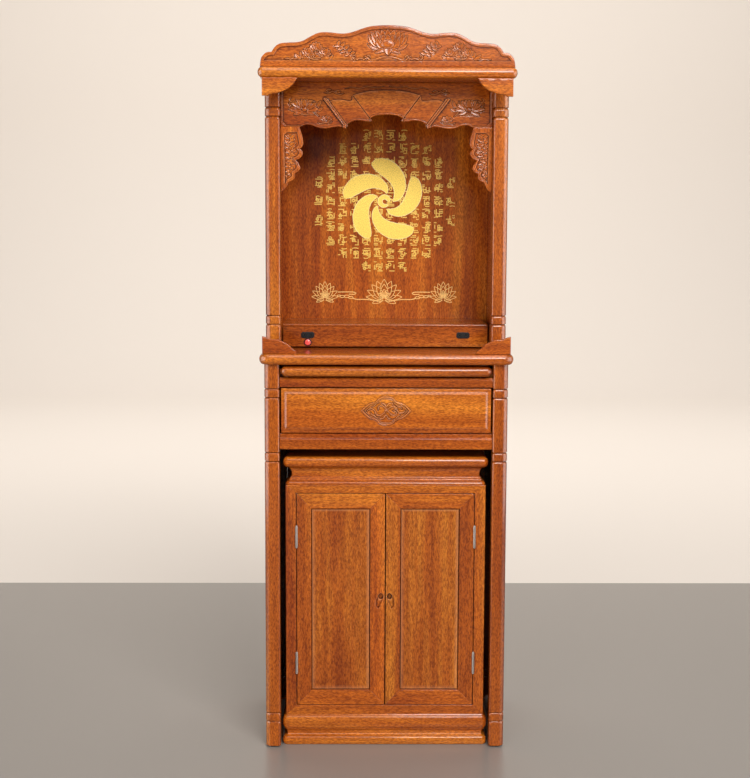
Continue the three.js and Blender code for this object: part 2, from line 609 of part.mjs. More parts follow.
// A lotus in leaf, a small flower and a cloud on each side.
const valanceCarving = onBothSides([
  ...fan([222, 1741], [[20, 6, 42, 15], [60, 7, 33, 15], [92, 7, 33, 14], [128, 7, 32, 14],
  [165, 6, 34, 13],
    [-22, 5, 22, 11], [205, 5, 22, 11]], 3.4, VALANCE.ground),
  dome([222, 1742], 8, 8, 4, VALANCE.ground),
  stroke([[262, 1752], [254, 1743], [244, 1731], [232, 1727], [218, 1728], [204, 1727]], 4, 2.6,
    VALANCE.ground),
  stroke([[193, 1753], [195, 1743], [192, 1730], [184, 1722]], 5, 3, VALANCE.ground),
  ...fan([168, 1713], [[15, 2, 15, 7], [65, 2, 14, 7], [115, 2, 14, 7], [165, 2, 15, 7], [-60, 2, 11, 6],
    [240, 2, 11, 6]], 3, VALANCE.ground),
  ...fan([140, 1784], [[5, 4, 22, 7], [180, 4, 24, 8], [60, 2, 12, 7], [120, 2, 12, 7]], 2.6,
  VALANCE.ground)]);
add(shrine, 'valance', standUp(geometryOf(joined(valanceBoard, valanceCarving)), valanceBack), LACQUER);

// Drops: scalloped boards that hang from the valance down the inside of the front posts.
const dropScallops = smooth([
  [[235.5, DROP_JOINT - GAP], [232, 1681], [225.5, 1656], [227.5, 1642], [234.5, 1635]],
  [[234.5, 1635], [228, 1629], [226.5, 1622], [234.5, 1609.5], [246, 1604.5]],
  [[246, 1604.5], [237, 1593], [234, 1583], [240.5, 1573], [250, 1568.5]],
  [[250, 1568.5], [249, 1556.5], [255.5, 1550], [266, 1546]],
  [[266, 1546], [270, 1535.5], [277, 1525], [valanceEdge, 1519.5]]], 1);
const dropOutline = [[valanceEdge, DROP_JOINT - GAP], ...dropScallops];
const DROP = { ground: 12.5, rim: 15 };
const dropFieldLine = offsetLine(dropScallops, -4.5).slice(1, -3);
const dropField = [[274.5, 1540], [274.5, 1672.5], [268, 1679.5], [238, 1679.5],
  ...dropFieldLine.filter(([, z]) => z < 1676 && z > 1545)];
const dropCarving = [
  ...fan([262, 1652], [[30, 2, 14, 9], [90, 2, 17, 10], [150, 2, 21, 10], [215, 2, 20, 9]], 3, DROP.ground),
  ...fan([256, 1622], [[100, 2, 16, 9], [155, 2, 18, 9], [30, 2, 16, 8], [220, 2, 15, 8]], 3, DROP.ground),
  ...fan([262, 1586], [[75, 2, 16, 8], [140, 2, 20, 9], [205, 2, 16, 8]], 2.8, DROP.ground),
  stroke([[270, 1670], [262, 1650], [268, 1632], [256, 1620], [268, 1600], [262, 1584], [270, 1568]],
    3.6, 2.2, DROP.ground)];
const dropBoard = joined(
  solid(upright(dropOutline, DROP.rim)).subtract(
    solid(upright(dropField, 4).translate(0, 0, DROP.ground))), dropCarving);
addPair(shrine, 'valance_drop', standUp(geometryOf(dropBoard), valanceBack), LACQUER);

// ---------------------------------------------------------------- crown board

const CROWN_THICKNESS = 18;
const CROWN_SETBACK = 22;
const CROWN_RIM = 8.5;
const CROWN_RECESS = 3;
const CROWN_BOTTOM = ROOF_TOP + GAP;
const crownHalf = smooth([
  [[0, HEIGHT], [20, 1947.4], [46.5, 1944.6], [67, 1939], [86, 1932.2], [106, 1927.1], [125, 1926.3],
  [145, 1928.6],
    [167, 1929.4], [184, 1926.6], [203, 1917.6], [221, 1907.6], [238, 1903.6], [260, 1902.6], [281, 1900],
    [294, 1891.8], [303, 1879]],
  [[303, 1879], [315, 1877.6], [323, 1872.4], [330.5, 1862], [334, CROWN_BOTTOM]],
], 1);
const crownOutline = bothHalves(crownHalf);
const crownFieldBottom = 1856;
const crownFieldHalf = offsetLine(crownHalf, CROWN_RIM)
  .filter(([x, z]) => z > crownFieldBottom + 2 && x < 325);
const crownField = [...bothHalves(crownFieldHalf), [324, crownFieldBottom], [-324, crownFieldBottom]];
const crownGround = CROWN_THICKNESS - CROWN_RECESS;

// In the middle a lotus over rippling water.
const crownLotus = [
  ...fan([0, 1899], [[0, 16, 46, 13], [180, 16, 46, 13], [25, 14, 42, 14], [155, 14, 42, 14],
  [48, 12, 38, 14],
    [132, 12, 38, 14]], 3.2, crownGround),
  ...fan([0, 1899], [[90, 10, 36, 15], [68, 11, 36, 13], [112, 11, 36, 13], [-38, 12, 40, 12],
  [218, 12, 40, 12],
    [-62, 10, 30, 12], [242, 10, 30, 12], [-90, 8, 27, 16]], 4, crownGround),
  dome([0, 1899.5], 16.5, 13.5, 6, crownGround)];
const crownSides = onBothSides([
  // water and scrolls under the lotus
  stroke([[0, 1866], [18, 1866], [36, 1860], [52, 1858], [66, 1861], [82, 1858]], 4, 2.4, crownGround),
  stroke([[44, 1866], [48, 1870], [54, 1866], [50, 1860]], 4, 3, crownGround),
  stroke([[82, 1858], [86, 1865], [92, 1861]], 4, 3, crownGround),
  // a cloud and a leafy vine
  stroke([[86, 1866], [102, 1870], [113, 1878], [104, 1886], [94, 1880]], 5, 3, crownGround),
  ...fan([104, 1893], [[20, 2, 30, 10], [170, 2, 18, 9], [75, 1, 12, 8], [-60, 1, 14, 8],
  [-130, 2, 18, 9]], 3,
    crownGround),
  // three flowers on their stems, with a leaf
  ...bud([187, 1886], 90, 22, 3.6, crownGround),
  ...bud([168, 1876], 90, 22, 3.6, crownGround),
  ...bud([207, 1876], 90, 22, 3.6, crownGround),
  stroke([[162, 1873], [176, 1864], [196, 1863], [207, 1872]], 4, 2.6, crownGround),
  stroke([[187, 1886], [190, 1874], [196, 1864]], 3.6, 2.6, crownGround),
  petal([229, 1863], [246, 1880], 9, 3, crownGround),
  stroke([[236, 1861], [250, 1863], [262, 1860]], 4, 2.2, crownGround)]);
const crownBoard = joined(
  solid(upright(crownOutline, CROWN_THICKNESS)).subtract(
    solid(upright(crownField, CROWN_RECESS + 2).translate(0, 0, crownGround))),
  [...crownLotus, ...crownSides]);
add(shrine, 'crown_board', standUp(geometryOf(crownBoard), CROWN_SETBACK + CROWN_THICKNESS), LACQUER);

// ---------------------------------------------------------------- the inner cabinet

const cabinet = new THREE.Group();
const bodyHalf = CABINET_WIDTH / 2;
const NECK_TOP = 776.6;
const BODY_TOP = 728.4;
const BODY_BOTTOM = 84.4;
const FACE_SETBACK = 52;
const TOP_HALF = 279;
const INNER_HALF = bodyHalf - BOARD;

add(cabinet, 'cabinet_top', mouldedSlab({
  halfWidth: TOP_HALF, front: FACE_SETBACK - 7, back: CABINET_BACK, corner: 14,
  layers: nosing(NECK_TOP + GAP, CABINET_HEIGHT),
}), LACQUER);

// Neck: a frame with a cove under the top and small steps down to the body.
const neckLayers = [[BODY_TOP, 0], [733, 1.2], [734, 5], [740, 6.5], [741, 9.5], [748, 11], [749, 14.5],
  [760, 15],
  [768, 13], [773, 9.5], [NECK_TOP, 5]];
const neckOutside = mouldedSlab({
  halfWidth: bodyHalf, front: FACE_SETBACK, back: CABINET_BACK - 1, corner: 12, cornerSteps: 2,
  layers: neckLayers });
const insideBody = (z0, z1) => solid(board(
  [-INNER_HALF, INNER_HALF], [FACE_SETBACK + 34, CABINET_BACK - 20], [z0, z1]));
const neck = solid(neckOutside).subtract(insideBody(BODY_TOP - 1, NECK_TOP + 1));
add(cabinet, 'cabinet_neck', geometryOf(neck), LACQUER);

// Face frame around the doors.
const faceOutline = [[-bodyHalf, BODY_BOTTOM + GAP], [bodyHalf, BODY_BOTTOM + GAP],
  [bodyHalf, BODY_TOP - GAP],
  [-bodyHalf, BODY_TOP - GAP]];
const doorwayHalf = DOOR_WIDTH + 3.5;
const doorwayBottom = DOOR_BOTTOM - 1.5;
const doorwayTop = DOOR_TOP + 1.5;
const faceShape = shapeOf(faceOutline);
faceShape.holes.push(new THREE.Path([[-doorwayHalf, doorwayBottom], [-doorwayHalf, doorwayTop],
  [doorwayHalf, doorwayTop], [doorwayHalf, doorwayBottom]].map(([x, z]) => new THREE.Vector2(x, z))));
add(cabinet, 'cabinet_face_frame', standUp(
  new THREE.ExtrudeGeometry(faceShape, { depth: BOARD, bevelEnabled: false }), FACE_SETBACK + BOARD),
    LACQUER);

// Carcass boards behind the face frame.
const carcassFront = FACE_SETBACK + BOARD + GAP;
const carcassBack = CABINET_BACK - 8 - 2 * GAP;
addPair(cabinet, 'cabinet_side', board(
  [bodyHalf - 16, bodyHalf], [carcassFront, carcassBack + GAP], [BODY_BOTTOM + GAP, BODY_TOP - GAP]),
  DARK_LACQUER);
add(cabinet, 'cabinet_back', board(
  [-bodyHalf, bodyHalf], [CABINET_BACK - 8, CABINET_BACK], [BODY_BOTTOM + GAP, BODY_TOP - GAP]),
  DARK_LACQUER);
add(cabinet, 'cabinet_floor', board(
  [-bodyHalf + 16 + GAP, bodyHalf - 16 - GAP], [carcassFront, carcassBack + GAP], [96, 110]), DARK_LACQUER);

// Base: a hollow frame with a torus, a cove and a bead down to the floor.
const baseLayers = [[0, 5], [4, 1.6], [9, 0.2], [14, 0.2], [19, 1.6], [23, 5], [25, 11], [31, 13.5],
  [37, 12.5],
  [42, 8], [45, 5.5], [52, 1.8], [60, 0.1], [68, 0.1], [76, 1.8], [81, 5], [BODY_BOTTOM, 9.5]];
const baseOutside = mouldedSlab({
  halfWidth: 282, front: CABINET_SETBACK, back: CABINET_BACK, corner: 14, cornerSteps: 2,
  layers: baseLayers });
const base = solid(baseOutside).subtract(insideBody(-1, BODY_BOTTOM + 1));
add(cabinet, 'cabinet_base', geometryOf(base), LACQUER);

// ---------------------------------------------------------------- doors

// Each door is a mitred frame of four members around a flat sunken panel.
const DOOR_INNER_X = 1.5;                     // from the middle to a closed door's free edge
const doorX0 = DOOR_INNER_X;
const doorX1 = DOOR_INNER_X + DOOR_WIDTH;
const panelX0 = doorX0 + DOOR_MEMBER;
const panelX1 = doorX1 - DOOR_MEMBER;
const panelZ0 = DOOR_BOTTOM + DOOR_MEMBER + 2;
const panelZ1 = DOOR_TOP - DOOR_MEMBER - 2;
const MITRE = GAP / 2;

/** A mitred door member as a four-cornered outline between the door's outer and inner edges. */
const stileOutline = (xOuter, xInner) => [
  [xOuter, DOOR_BOTTOM + MITRE], [xInner, panelZ0 + MITRE], [xInner, panelZ1 - MITRE],
  [xOuter, DOOR_TOP - MITRE]];
const railOutline = (zOuter, zInner) => [
  [doorX0 + MITRE * 2, zOuter], [panelX0 + MITRE * 2, zInner], [panelX1 - MITRE * 2, zInner],
  [doorX1 - MITRE * 2, zOuter]];

// Finger pull: a leaf-shaped scoop in the inner stile, with a deeper hole at its top.
const PULL = { x: 16.5, bottom: 384, depth: 6, holeRadius: 6.5, holeDepth: 14 };
const pullOutline = smooth([[
  [0, 0], [6.5, 4], [10.5, 12], [10, 20], [7, 31], [5, 40], [0.5, 45.5], [-5, 43], [-8.2, 36], [-8.5, 24],
  [-8, 12],
  [-5, 4], [0, 0]]], 1).slice(0, -1);
const pullRing = (share, h) => pullOutline.map(([x, z]) => [x * share, (z - 22) * share + 22, h]);
const pullScoop = solid(loft([
  pullRing(0.55, BOARD - PULL.depth), pullRing(1, BOARD), pullRing(1, BOARD + 1)]))
  .add(solid(new THREE.CylinderGeometry(PULL.holeRadius, PULL.holeRadius, PULL.holeDepth + 1, 12)
    .rotateX(Math.PI / 2).translate(-1.5, 37, BOARD + 1 - (PULL.holeDepth + 1) / 2)))
  .translate([PULL.x, PULL.bottom, 0]);

const doorBack = FACE_SETBACK + BOARD;
const innerStile = solid(upright(stileOutline(doorX0, panelX0), BOARD)).subtract(pullScoop);
const PANEL_THICKNESS = 8;
const doors = new THREE.Group();
addPair(doors, 'door_inner_stile', standUp(geometryOf(innerStile), doorBack), LACQUER);
addPair(doors, 'door_hinge_stile', standUp(upright(stileOutline(doorX1, panelX1), BOARD), doorBack),
  LACQUER);
addPair(doors, 'door_top_rail', standUp(upright(railOutline(DOOR_TOP, panelZ1), BOARD), doorBack), LACQUER);
addPair(doors, 'door_bottom_rail', standUp(upright(railOutline(DOOR_BOTTOM, panelZ0), BOARD), doorBack),
  LACQUER);
addPair(doors, 'door_panel', board(
  [panelX0 + GAP, panelX1 - GAP], [FACE_SETBACK + 5, FACE_SETBACK + 5 + PANEL_THICKNESS],
  [panelZ0 + GAP, panelZ1 - GAP]), PANEL_WOOD);

// Butt hinges: a steel barrel in front of the joint and a leaf let into it.
const HINGE = { x: 243, setback: 48, radius: 3.6, length: 63, leafDepth: 16 };
const hingeProfile = [
  [0, 0], [HINGE.radius, 1.5], [HINGE.radius, HINGE.length - 1.5], [0, HINGE.length],
].map(([r, h]) => new THREE.Vector2(r, h));
const hingeBarrel = new THREE.LatheGeometry(hingeProfile, 10).rotateX(Math.PI / 2);
const hingeLeaf = new THREE.BoxGeometry(0.9, HINGE.leafDepth, HINGE.length - 6)
  .translate(0, HINGE.radius - 1 + HINGE.leafDepth / 2, HINGE.length / 2);
const hinge = geometryOf(solid(hingeBarrel).add(solid(hingeLeaf)));
for (const [level, z] of [['lower', 200.5], ['upper', 554]]) {
  addPair(cabinet, `hinge_${level}`, hinge.clone(), STEEL, [HINGE.x, behind(HINGE.setback), z]);
}

// ---------------------------------------------------------------- the whole object

const altarCabinet = new THREE.Group();
altarCabinet.add(stand, pullOut, drawer, shrine, cabinet, doors);

export default altarCabinet;
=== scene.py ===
import math
import random

import bpy
import numpy as np
from mathutils import Matrix, Vector
from mathutils.geometry import delaunay_2d_cdt


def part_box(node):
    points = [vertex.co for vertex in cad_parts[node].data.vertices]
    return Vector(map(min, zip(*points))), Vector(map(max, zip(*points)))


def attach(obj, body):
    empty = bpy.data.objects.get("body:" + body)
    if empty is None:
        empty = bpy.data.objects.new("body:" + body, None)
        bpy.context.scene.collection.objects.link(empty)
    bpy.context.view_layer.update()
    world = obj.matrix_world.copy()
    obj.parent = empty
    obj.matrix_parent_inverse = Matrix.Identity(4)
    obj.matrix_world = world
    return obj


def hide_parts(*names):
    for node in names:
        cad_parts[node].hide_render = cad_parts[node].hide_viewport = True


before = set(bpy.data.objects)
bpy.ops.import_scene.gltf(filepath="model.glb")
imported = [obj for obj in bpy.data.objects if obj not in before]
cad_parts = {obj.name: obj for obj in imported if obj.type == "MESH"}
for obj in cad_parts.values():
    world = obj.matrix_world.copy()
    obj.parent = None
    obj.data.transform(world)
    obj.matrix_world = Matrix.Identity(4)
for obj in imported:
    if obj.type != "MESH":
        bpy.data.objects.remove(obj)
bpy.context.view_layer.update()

# ---------------------------------------------------------------- room, light and camera
# A smooth grey studio floor, an off-white paper sweep behind it that rises far back as a wall, large soft
# lights from the front, from above and from both sides, and a camera at chest height a little to the left.

scene = bpy.context.scene
scene.view_settings.view_transform = "Standard"

CAMERA_PLACE = Vector((-0.072, -4.073, 1.447))
PITCH, YAW, ROLL = (math.radians(a) for a in (6.69, 0.62, 0.20))
ahead = Vector((math.sin(YAW) * math.cos(PITCH), math.cos(YAW) * math.cos(PITCH), -math.sin(PITCH)))
level_right = Vector((math.cos(YAW), -math.sin(YAW), 0))
level_down = ahead.cross(level_right)
right = level_right * math.cos(ROLL) - level_down * math.sin(ROLL)
down = level_right * math.sin(ROLL) + level_down * math.cos(ROLL)
camera_data = bpy.data.cameras.new("camera")
camera_data.lens = 67.1
camera = bpy.data.objects.new("camera", camera_data)
camera.matrix_world = Matrix.Translation(CAMERA_PLACE) @ Matrix((right, -down, -ahead)).transposed().to_4x4()
scene.collection.objects.link(camera)
scene.camera = camera


def plain_finish(name, colour, roughness):
    """A studio surface of one even colour."""
    material = bpy.data.materials.new(name)
    material.use_nodes = True
    shader = material.node_tree.nodes["Principled BSDF"]
    shader.inputs["Base Color"].default_value = (*colour, 1)
    shader.inputs["Roughness"].default_value = roughness
    return material


def studio_sheet(name, corners, material):
    """A single flat face that isn't part of the object."""
    mesh = bpy.data.meshes.new(name)
    mesh.from_pydata(corners, [], [(0, 1, 2, 3)])
    mesh.materials.append(material)
    sheet = bpy.data.objects.new(name, mesh)
    scene.collection.objects.link(sheet)


FLOOR_END, SWEEP_TURN, SWEEP_RADIUS, SWEEP_TOP = 1.6, 7.5, 2.5, 9.0
studio_sheet("studio_floor", [(-12, -9, 0), (12, -9, 0), (12, FLOOR_END, 0), (-12, FLOOR_END, 0)],
             plain_finish("studio_floor", (0.29, 0.27, 0.25), 0.3))
sweep_line = [(FLOOR_END, 0)]
sweep_line += [(SWEEP_TURN + SWEEP_RADIUS * math.sin(angle), SWEEP_RADIUS * (1 - math.cos(angle)))
               for angle in (math.pi / 2 * i / 24 for i in range(25))]
sweep_line.append((SWEEP_TURN + SWEEP_RADIUS, SWEEP_TOP))
sweep_mesh = bpy.data.meshes.new("studio_sweep")
sweep_mesh.from_pydata([(x, y, z) for y, z in sweep_line for x in (-12, 12)], [],
                       [(2 * i, 2 * i + 1, 2 * i + 3, 2 * i + 2) for i in range(len(sweep_line) - 1)])
sweep_mesh.materials.append(plain_finish("studio_sweep", (0.8, 0.74, 0.68), 1.0))
sweep_mesh.shade_smooth()
sweep = bpy.data.objects.new("studio_sweep", sweep_mesh)
scene.collection.objects.link(sweep)


def softbox(name, place, aim, size, power, mirrored=True, lighting=True, colour=(1, 0.97, 0.94)):
    """A rectangular light that points at a spot; it can be left out of reflections, or show only in them."""
    data = bpy.data.lights.new(name, "AREA")
    data.shape = "RECTANGLE"
    data.size, data.size_y = size
    data.energy = power
    data.color = colour
    light = bpy.data.objects.new(name, data)
    light.location = place
    light.rotation_euler = (Vector(aim) - Vector(place)).to_track_quat("-Z", "Y").to_euler()
    light.visible_glossy = mirrored
    light.visible_diffuse = lighting
    scene.collection.objects.link(light)


softbox("light_key", (1.1, -3.7, 3.3), (0, 0, 1.3), (2.0, 1.5), 170)
softbox("light_fill", (-1.7, -4.4, 1.25), (0, 0, 1.4), (1.8, 1.8), 72, mirrored=False)
softbox("panel_above", (0.2, -1.5, 3.9), (0, 0, 1.2), (3.4, 2.4), 95, lighting=False, colour=(1, 0.93, 0.86))
softbox("panel_left", (-2.8, -0.9, 1.5), (0, 0, 1.4), (3.0, 2.8), 130, lighting=False)
softbox("panel_right", (2.8, -0.9, 1.5), (0, 0, 1.4), (3.0, 2.8), 130, lighting=False)
softbox("light_sweep", (0, 4.2, 6.0), (0, 7.5, 0.8), (11, 4), 500, mirrored=False)

world = bpy.data.worlds.new("studio")
scene.world = world
world.use_nodes = True
world.node_tree.nodes["Background"].inputs["Color"].default_value = (1, 0.93, 0.85, 1)
world.node_tree.nodes["Background"].inputs["Strength"].default_value = 0.27

# ---------------------------------------------------------------- foot glides
# Four round black plastic glides nailed under the posts, slightly rounded at the rim.

MM = 0.001


def from_linear(colour, factor=1.0):
    """A colour with its fourth value, made lighter or darker."""
    return (*(channel * factor for channel in colour), 1)


def moulded_plastic(name, colour, roughness, coat=0.0):
    """Injection-moulded plastic with a fine sparked texture."""
    material = plain_finish(name, colour, roughness)
    nodes, links = material.node_tree.nodes, material.node_tree.links
    shader = nodes["Principled BSDF"]
    shader.inputs["Coat Weight"].default_value = coat
    place = nodes.new("ShaderNodeTexCoord")
    grit = nodes.new("ShaderNodeTexNoise")
    grit.inputs["Scale"].default_value = 1800
    links.new(place.outputs["Object"], grit.inputs["Vector"])
    tint = nodes.new("ShaderNodeValToRGB")
    tint.color_ramp.elements[0].color = from_linear(colour, 0.8)
    tint.color_ramp.elements[1].color = from_linear(colour, 1.3)
    links.new(grit.outputs["Fac"], tint.inputs["Fac"])
    links.new(tint.outputs["Color"], shader.inputs["Base Color"])
    bump = nodes.new("ShaderNodeBump")
    bump.inputs["Strength"].default_value = 0.15
    bump.inputs["Distance"].default_value = 0.0002
    links.new(grit.outputs["Fac"], bump.inputs["Height"])
    links.new(bump.outputs["Normal"], shader.inputs["Normal"])
    return material


def keep(name, vertices, faces, material, body, nodes, bevel=0.0, segments=2, sharp=40, hollow=()):
    """A finished piece from vertices in millimetres; hollow is how much painted shade, with some staining,
    darkens each vertex.
    """
    mesh = bpy.data.meshes.new(name)
    mesh.from_pydata([(x * MM, y * MM, z * MM) for x, y, z in vertices], [], faces)
    if len(hollow):
        mesh.attributes.new("hollow", "FLOAT", "POINT").data.foreach_set("value", hollow)
    for finish in material if isinstance(material, list) else [material]:
        mesh.materials.append(finish)
    piece = bpy.data.objects.new(name, mesh)
    scene.collection.objects.link(piece)
    return settle(piece, body, nodes, bevel, segments, sharp)


def settle(piece, body, nodes, bevel=0.0, segments=2, sharp=40):
    """Rounds the arrises of a piece, fixes its shape as a mesh, gives it its body and hides the nodes it
    replaces.
    """
    piece.data.shade_smooth()
    if bevel:
        rounding = piece.modifiers.new("arris", "BEVEL")
        rounding.width = bevel * MM
        rounding.segments = segments
        rounding.limit_method = "ANGLE"
        rounding.angle_limit = math.radians(30)
        rounding.harden_normals = True
    weighted = piece.modifiers.new("normals", "WEIGHTED_NORMAL")
    weighted.keep_sharp = True
    if not bevel:
        piece.data.set_sharp_from_angle(angle=math.radians(sharp))
    shaped = bpy.data.meshes.new_from_object(piece.evaluated_get(bpy.context.evaluated_depsgraph_get()))
    piece.modifiers.clear()
    piece.data = shaped
    shaped.name = piece.name
    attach(piece, body)
    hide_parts(*nodes)
    return piece


def stack(rings):
    """Vertices and faces of a closed solid over rings with the same number of corners, lowest first."""
    count = len(rings[0])
    faces = []
    for k in range(len(rings) - 1):
        for i in range(count):
            a, b = k * count + i, k * count + (i + 1) % count
            faces.append((a, b, b + count, a + count))
    top = (len(rings) - 1) * count
    faces.append(tuple(reversed(range(count))))
    faces.append(tuple(range(top, top + count)))
    return [point for ring in rings for point in ring], faces


def turned(centre, profile, sides):
    """A closed solid turned about an upright axis; the profile is (radius, height) from the bottom up."""
    x, y, z = centre
    angles = [2 * math.pi * i / sides for i in range(sides)]
    return stack([[(x + radius * math.cos(a), y + radius * math.sin(a), z + height) for a in angles]
                  for radius, height in profile])


def box_mm(node):
    """The low and high corners of a node, in millimetres."""
    low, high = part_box(node)
    return low * 1000, high * 1000


glide_plastic = moulded_plastic("glide_plastic", (0.015, 0.015, 0.016), 0.45)
for row in ("front", "rear"):
    for side in ("left", "right"):
        node = f"foot_pad_{row}_{side}"
        low, high = box_mm(node)
        middle = (low + high) / 2
        radius, height = (high.x - low.x) / 2, high.z - low.z
        profile = [(radius - 1.2, 0), (radius - 0.4, 0.4), (radius, 1.2), (radius, height - 0.6),
                   (radius - 0.6, height)]
        vertices, faces = turned((middle.x, middle.y, low.z), profile, 32)
        keep(f"glide_{row}_{side}", vertices, faces, glide_plastic, "altar_frame", [node])

# ---------------------------------------------------------------- posts
# Eight square posts of solid hardwood under satin lacquer. The front ones have a generous round on the outer
# corner and small rounds on the others; each ring is two grooves cut square above a rounded lip.


def lacquered_wood(name, along, tone=1.0, shift=(0, 0, 0), red=0.0, bands=1.0, gloss=0.4):
    """Orange-brown hardwood with dark flecked pores under a clear lacquer, its grain along one axis."""
    material = bpy.data.materials.new(name)
    material.use_nodes = True
    nodes, links = material.node_tree.nodes, material.node_tree.links
    shader = nodes["Principled BSDF"]
    place = nodes.new("ShaderNodeTexCoord")

    def grain(length, scale, detail, distortion=0.0):
        """Noise drawn out along the grain."""
        stretch = nodes.new("ShaderNodeMapping")
        stretch.inputs["Location"].default_value = shift
        stretch.inputs["Scale"].default_value = [length if axis == along else 1 for axis in "XYZ"]
        links.new(place.outputs["Object"], stretch.inputs["Vector"])
        noise = nodes.new("ShaderNodeTexNoise")
        noise.inputs["Scale"].default_value = scale
        noise.inputs["Detail"].default_value = detail
        noise.inputs["Distortion"].default_value = distortion
        links.new(stretch.outputs["Vector"], noise.inputs["Vector"])
        return noise.outputs["Fac"]

    def ramp(source, stops):
        """Colours along a noise."""
        node = nodes.new("ShaderNodeValToRGB")
        elements = node.color_ramp.elements
        elements[0].position, elements[0].color = stops[0]
        elements[1].position, elements[1].color = stops[-1]
        for position, colour in stops[1:-1]:
            elements.new(position).color = colour
        links.new(source, node.inputs["Fac"])
        return node.outputs["Color"]

    def blend(kind, factor, first, second):
        """Two colours blended; the factor is a number or a socket."""
        node = nodes.new("ShaderNodeMix")
        node.data_type = "RGBA"
        node.blend_type = kind
        if isinstance(factor, (int, float)):
            node.inputs["Factor"].default_value = factor
        else:
            links.new(factor, node.inputs["Factor"])
        links.new(first, node.inputs["A"])
        if isinstance(second, tuple):
            node.inputs["B"].default_value = second
        else:
            links.new(second, node.inputs["B"])
        return node.outputs["Result"]

    dark = (0.34 * tone, (0.063 - 0.014 * red) * tone, 0.0045 * tone, 1)
    middle = (0.53 * tone, (0.129 - 0.03 * red) * tone, 0.0095 * tone, 1)
    light = (0.72 * tone, (0.236 - 0.05 * red) * tone, 0.022 * tone, 1)
    broad = ramp(grain(0.06, 13 * bands, 3, 0.6), [(0.3, dark), (0.5, middle), (0.7, light)])
    fine = ramp(grain(0.05, 150, 3), [(0.36, (0.62, 0.5, 0.38, 1)), (0.62, (1.1, 1.08, 1.04, 1))])
    flecks = ramp(grain(0.3, 380, 2), [(0.38, (0.36, 0.22, 0.12, 1)), (0.55, (1, 1, 1, 1)),
                                       (0.7, (1.2, 1.25, 1.3, 1))])
    pores = ramp(grain(0.12, 1100, 2), [(0.38, (0.36, 0.24, 0.16, 1)), (0.5, (1, 1, 1, 1))])
    colour = blend("MULTIPLY", 0.5, broad, fine)
    colour = blend("MULTIPLY", 0.62, colour, flecks)
    colour = blend("MULTIPLY", 0.45, colour, pores)

    # painted shade darkens the cuts of the carving and the grooves of the posts, with some staining there,
    # and a painted highlight lightens the carving's arrises
    hollow = nodes.new("ShaderNodeAttribute")
    hollow.attribute_name = "hollow"
    colour = blend("MULTIPLY", hollow.outputs["Fac"], colour, (0.13, 0.07, 0.045, 1))
    # the arris value is a painted highlight, mixed towards a pale colour
    arris = nodes.new("ShaderNodeAttribute")
    arris.attribute_name = "arris"
    colour = blend("MIX", arris.outputs["Fac"], colour, (0.78 * tone, 0.36 * tone, 0.16 * tone, 1))
    links.new(colour, shader.inputs["Base Color"])

    sheen = nodes.new("ShaderNodeMapRange")
    sheen.inputs["To Min"].default_value = gloss
    sheen.inputs["To Max"].default_value = gloss + 0.16
    links.new(grain(0.08, 55, 3), sheen.inputs["Value"])
    links.new(sheen.outputs["Result"], shader.inputs["Roughness"])
    shader.inputs["Specular IOR Level"].default_value = 0.08
    shader.inputs["Coat Weight"].default_value = 0.8
    shader.inputs["Coat Roughness"].default_value = 0.13
    bump = nodes.new("ShaderNodeBump")
    bump.inputs["Strength"].default_value = 0.2
    bump.inputs["Distance"].default_value = 0.0003
    links.new(grain(0.1, 420, 3), bump.inputs["Height"])
    links.new(bump.outputs["Normal"], shader.inputs["Normal"])
    links.new(bump.outputs["Normal"], shader.inputs["Coat Normal"])
    return material


GROOVE_DEPTH, LIP_HEIGHT, LIP_BELOW, LIP_SHADE_AND_STAIN = 3.4, 7.0, 5.5, 0.25
RING_SPACING = 24.0
LIP_STEPS = 6


def post_section(low, high, inset, radii, z):
    """One ring of a post: corners listed from the back left, anticlockwise seen from above."""
    ring = []
    corners = [(low.x, low.y, 180, radii[0]), (high.x, low.y, 270, radii[1]),
               (high.x, high.y, 0, 4), (low.x, high.y, 90, 4)]
    for x, y, start, radius in corners:
        steps = 9 if radius > 5 else 4
        radius = max(radius - inset * 0.3, 1)
        cx = x + (inset + radius) * (1 if start in (180, 90) else -1)
        cy = y + (inset + radius) * (1 if start in (180, 270) else -1)
        for i in range(steps + 1):
            angle = math.radians(start + 90 * i / steps)
            ring.append((cx + radius * math.cos(angle), cy + radius * math.sin(angle), z))
    return ring


def post_levels(low_z, high_z, rings):
    """Height, inset and painted shade, with some staining, of each ring of a post, from its foot to its head.
    """
    levels = [(low_z, 0.6, 0), (low_z + 0.6, 0, 0)]
    for ring in rings:
        for centre in (ring - RING_SPACING / 2, ring + RING_SPACING / 2):
            for i in range(LIP_STEPS + 1):
                angle = math.pi / 2 * i / LIP_STEPS
                levels.append((centre - LIP_BELOW + LIP_HEIGHT * math.sin(angle),
                               GROOVE_DEPTH * (1 - math.cos(angle)), LIP_SHADE_AND_STAIN * (i / LIP_STEPS) ** 2))
            # painted shade, with some staining, is strongest in the crease of each groove
            levels += [(centre + 1.7, GROOVE_DEPTH, 1), (centre + 2.6, 1.4, 0.9), (centre + 3.3, 0.3, 0.7),
                       (centre + 3.8, 0, 0.1)]
    return levels + [(high_z - 0.6, 0, 0), (high_z, 0.6, 0)]


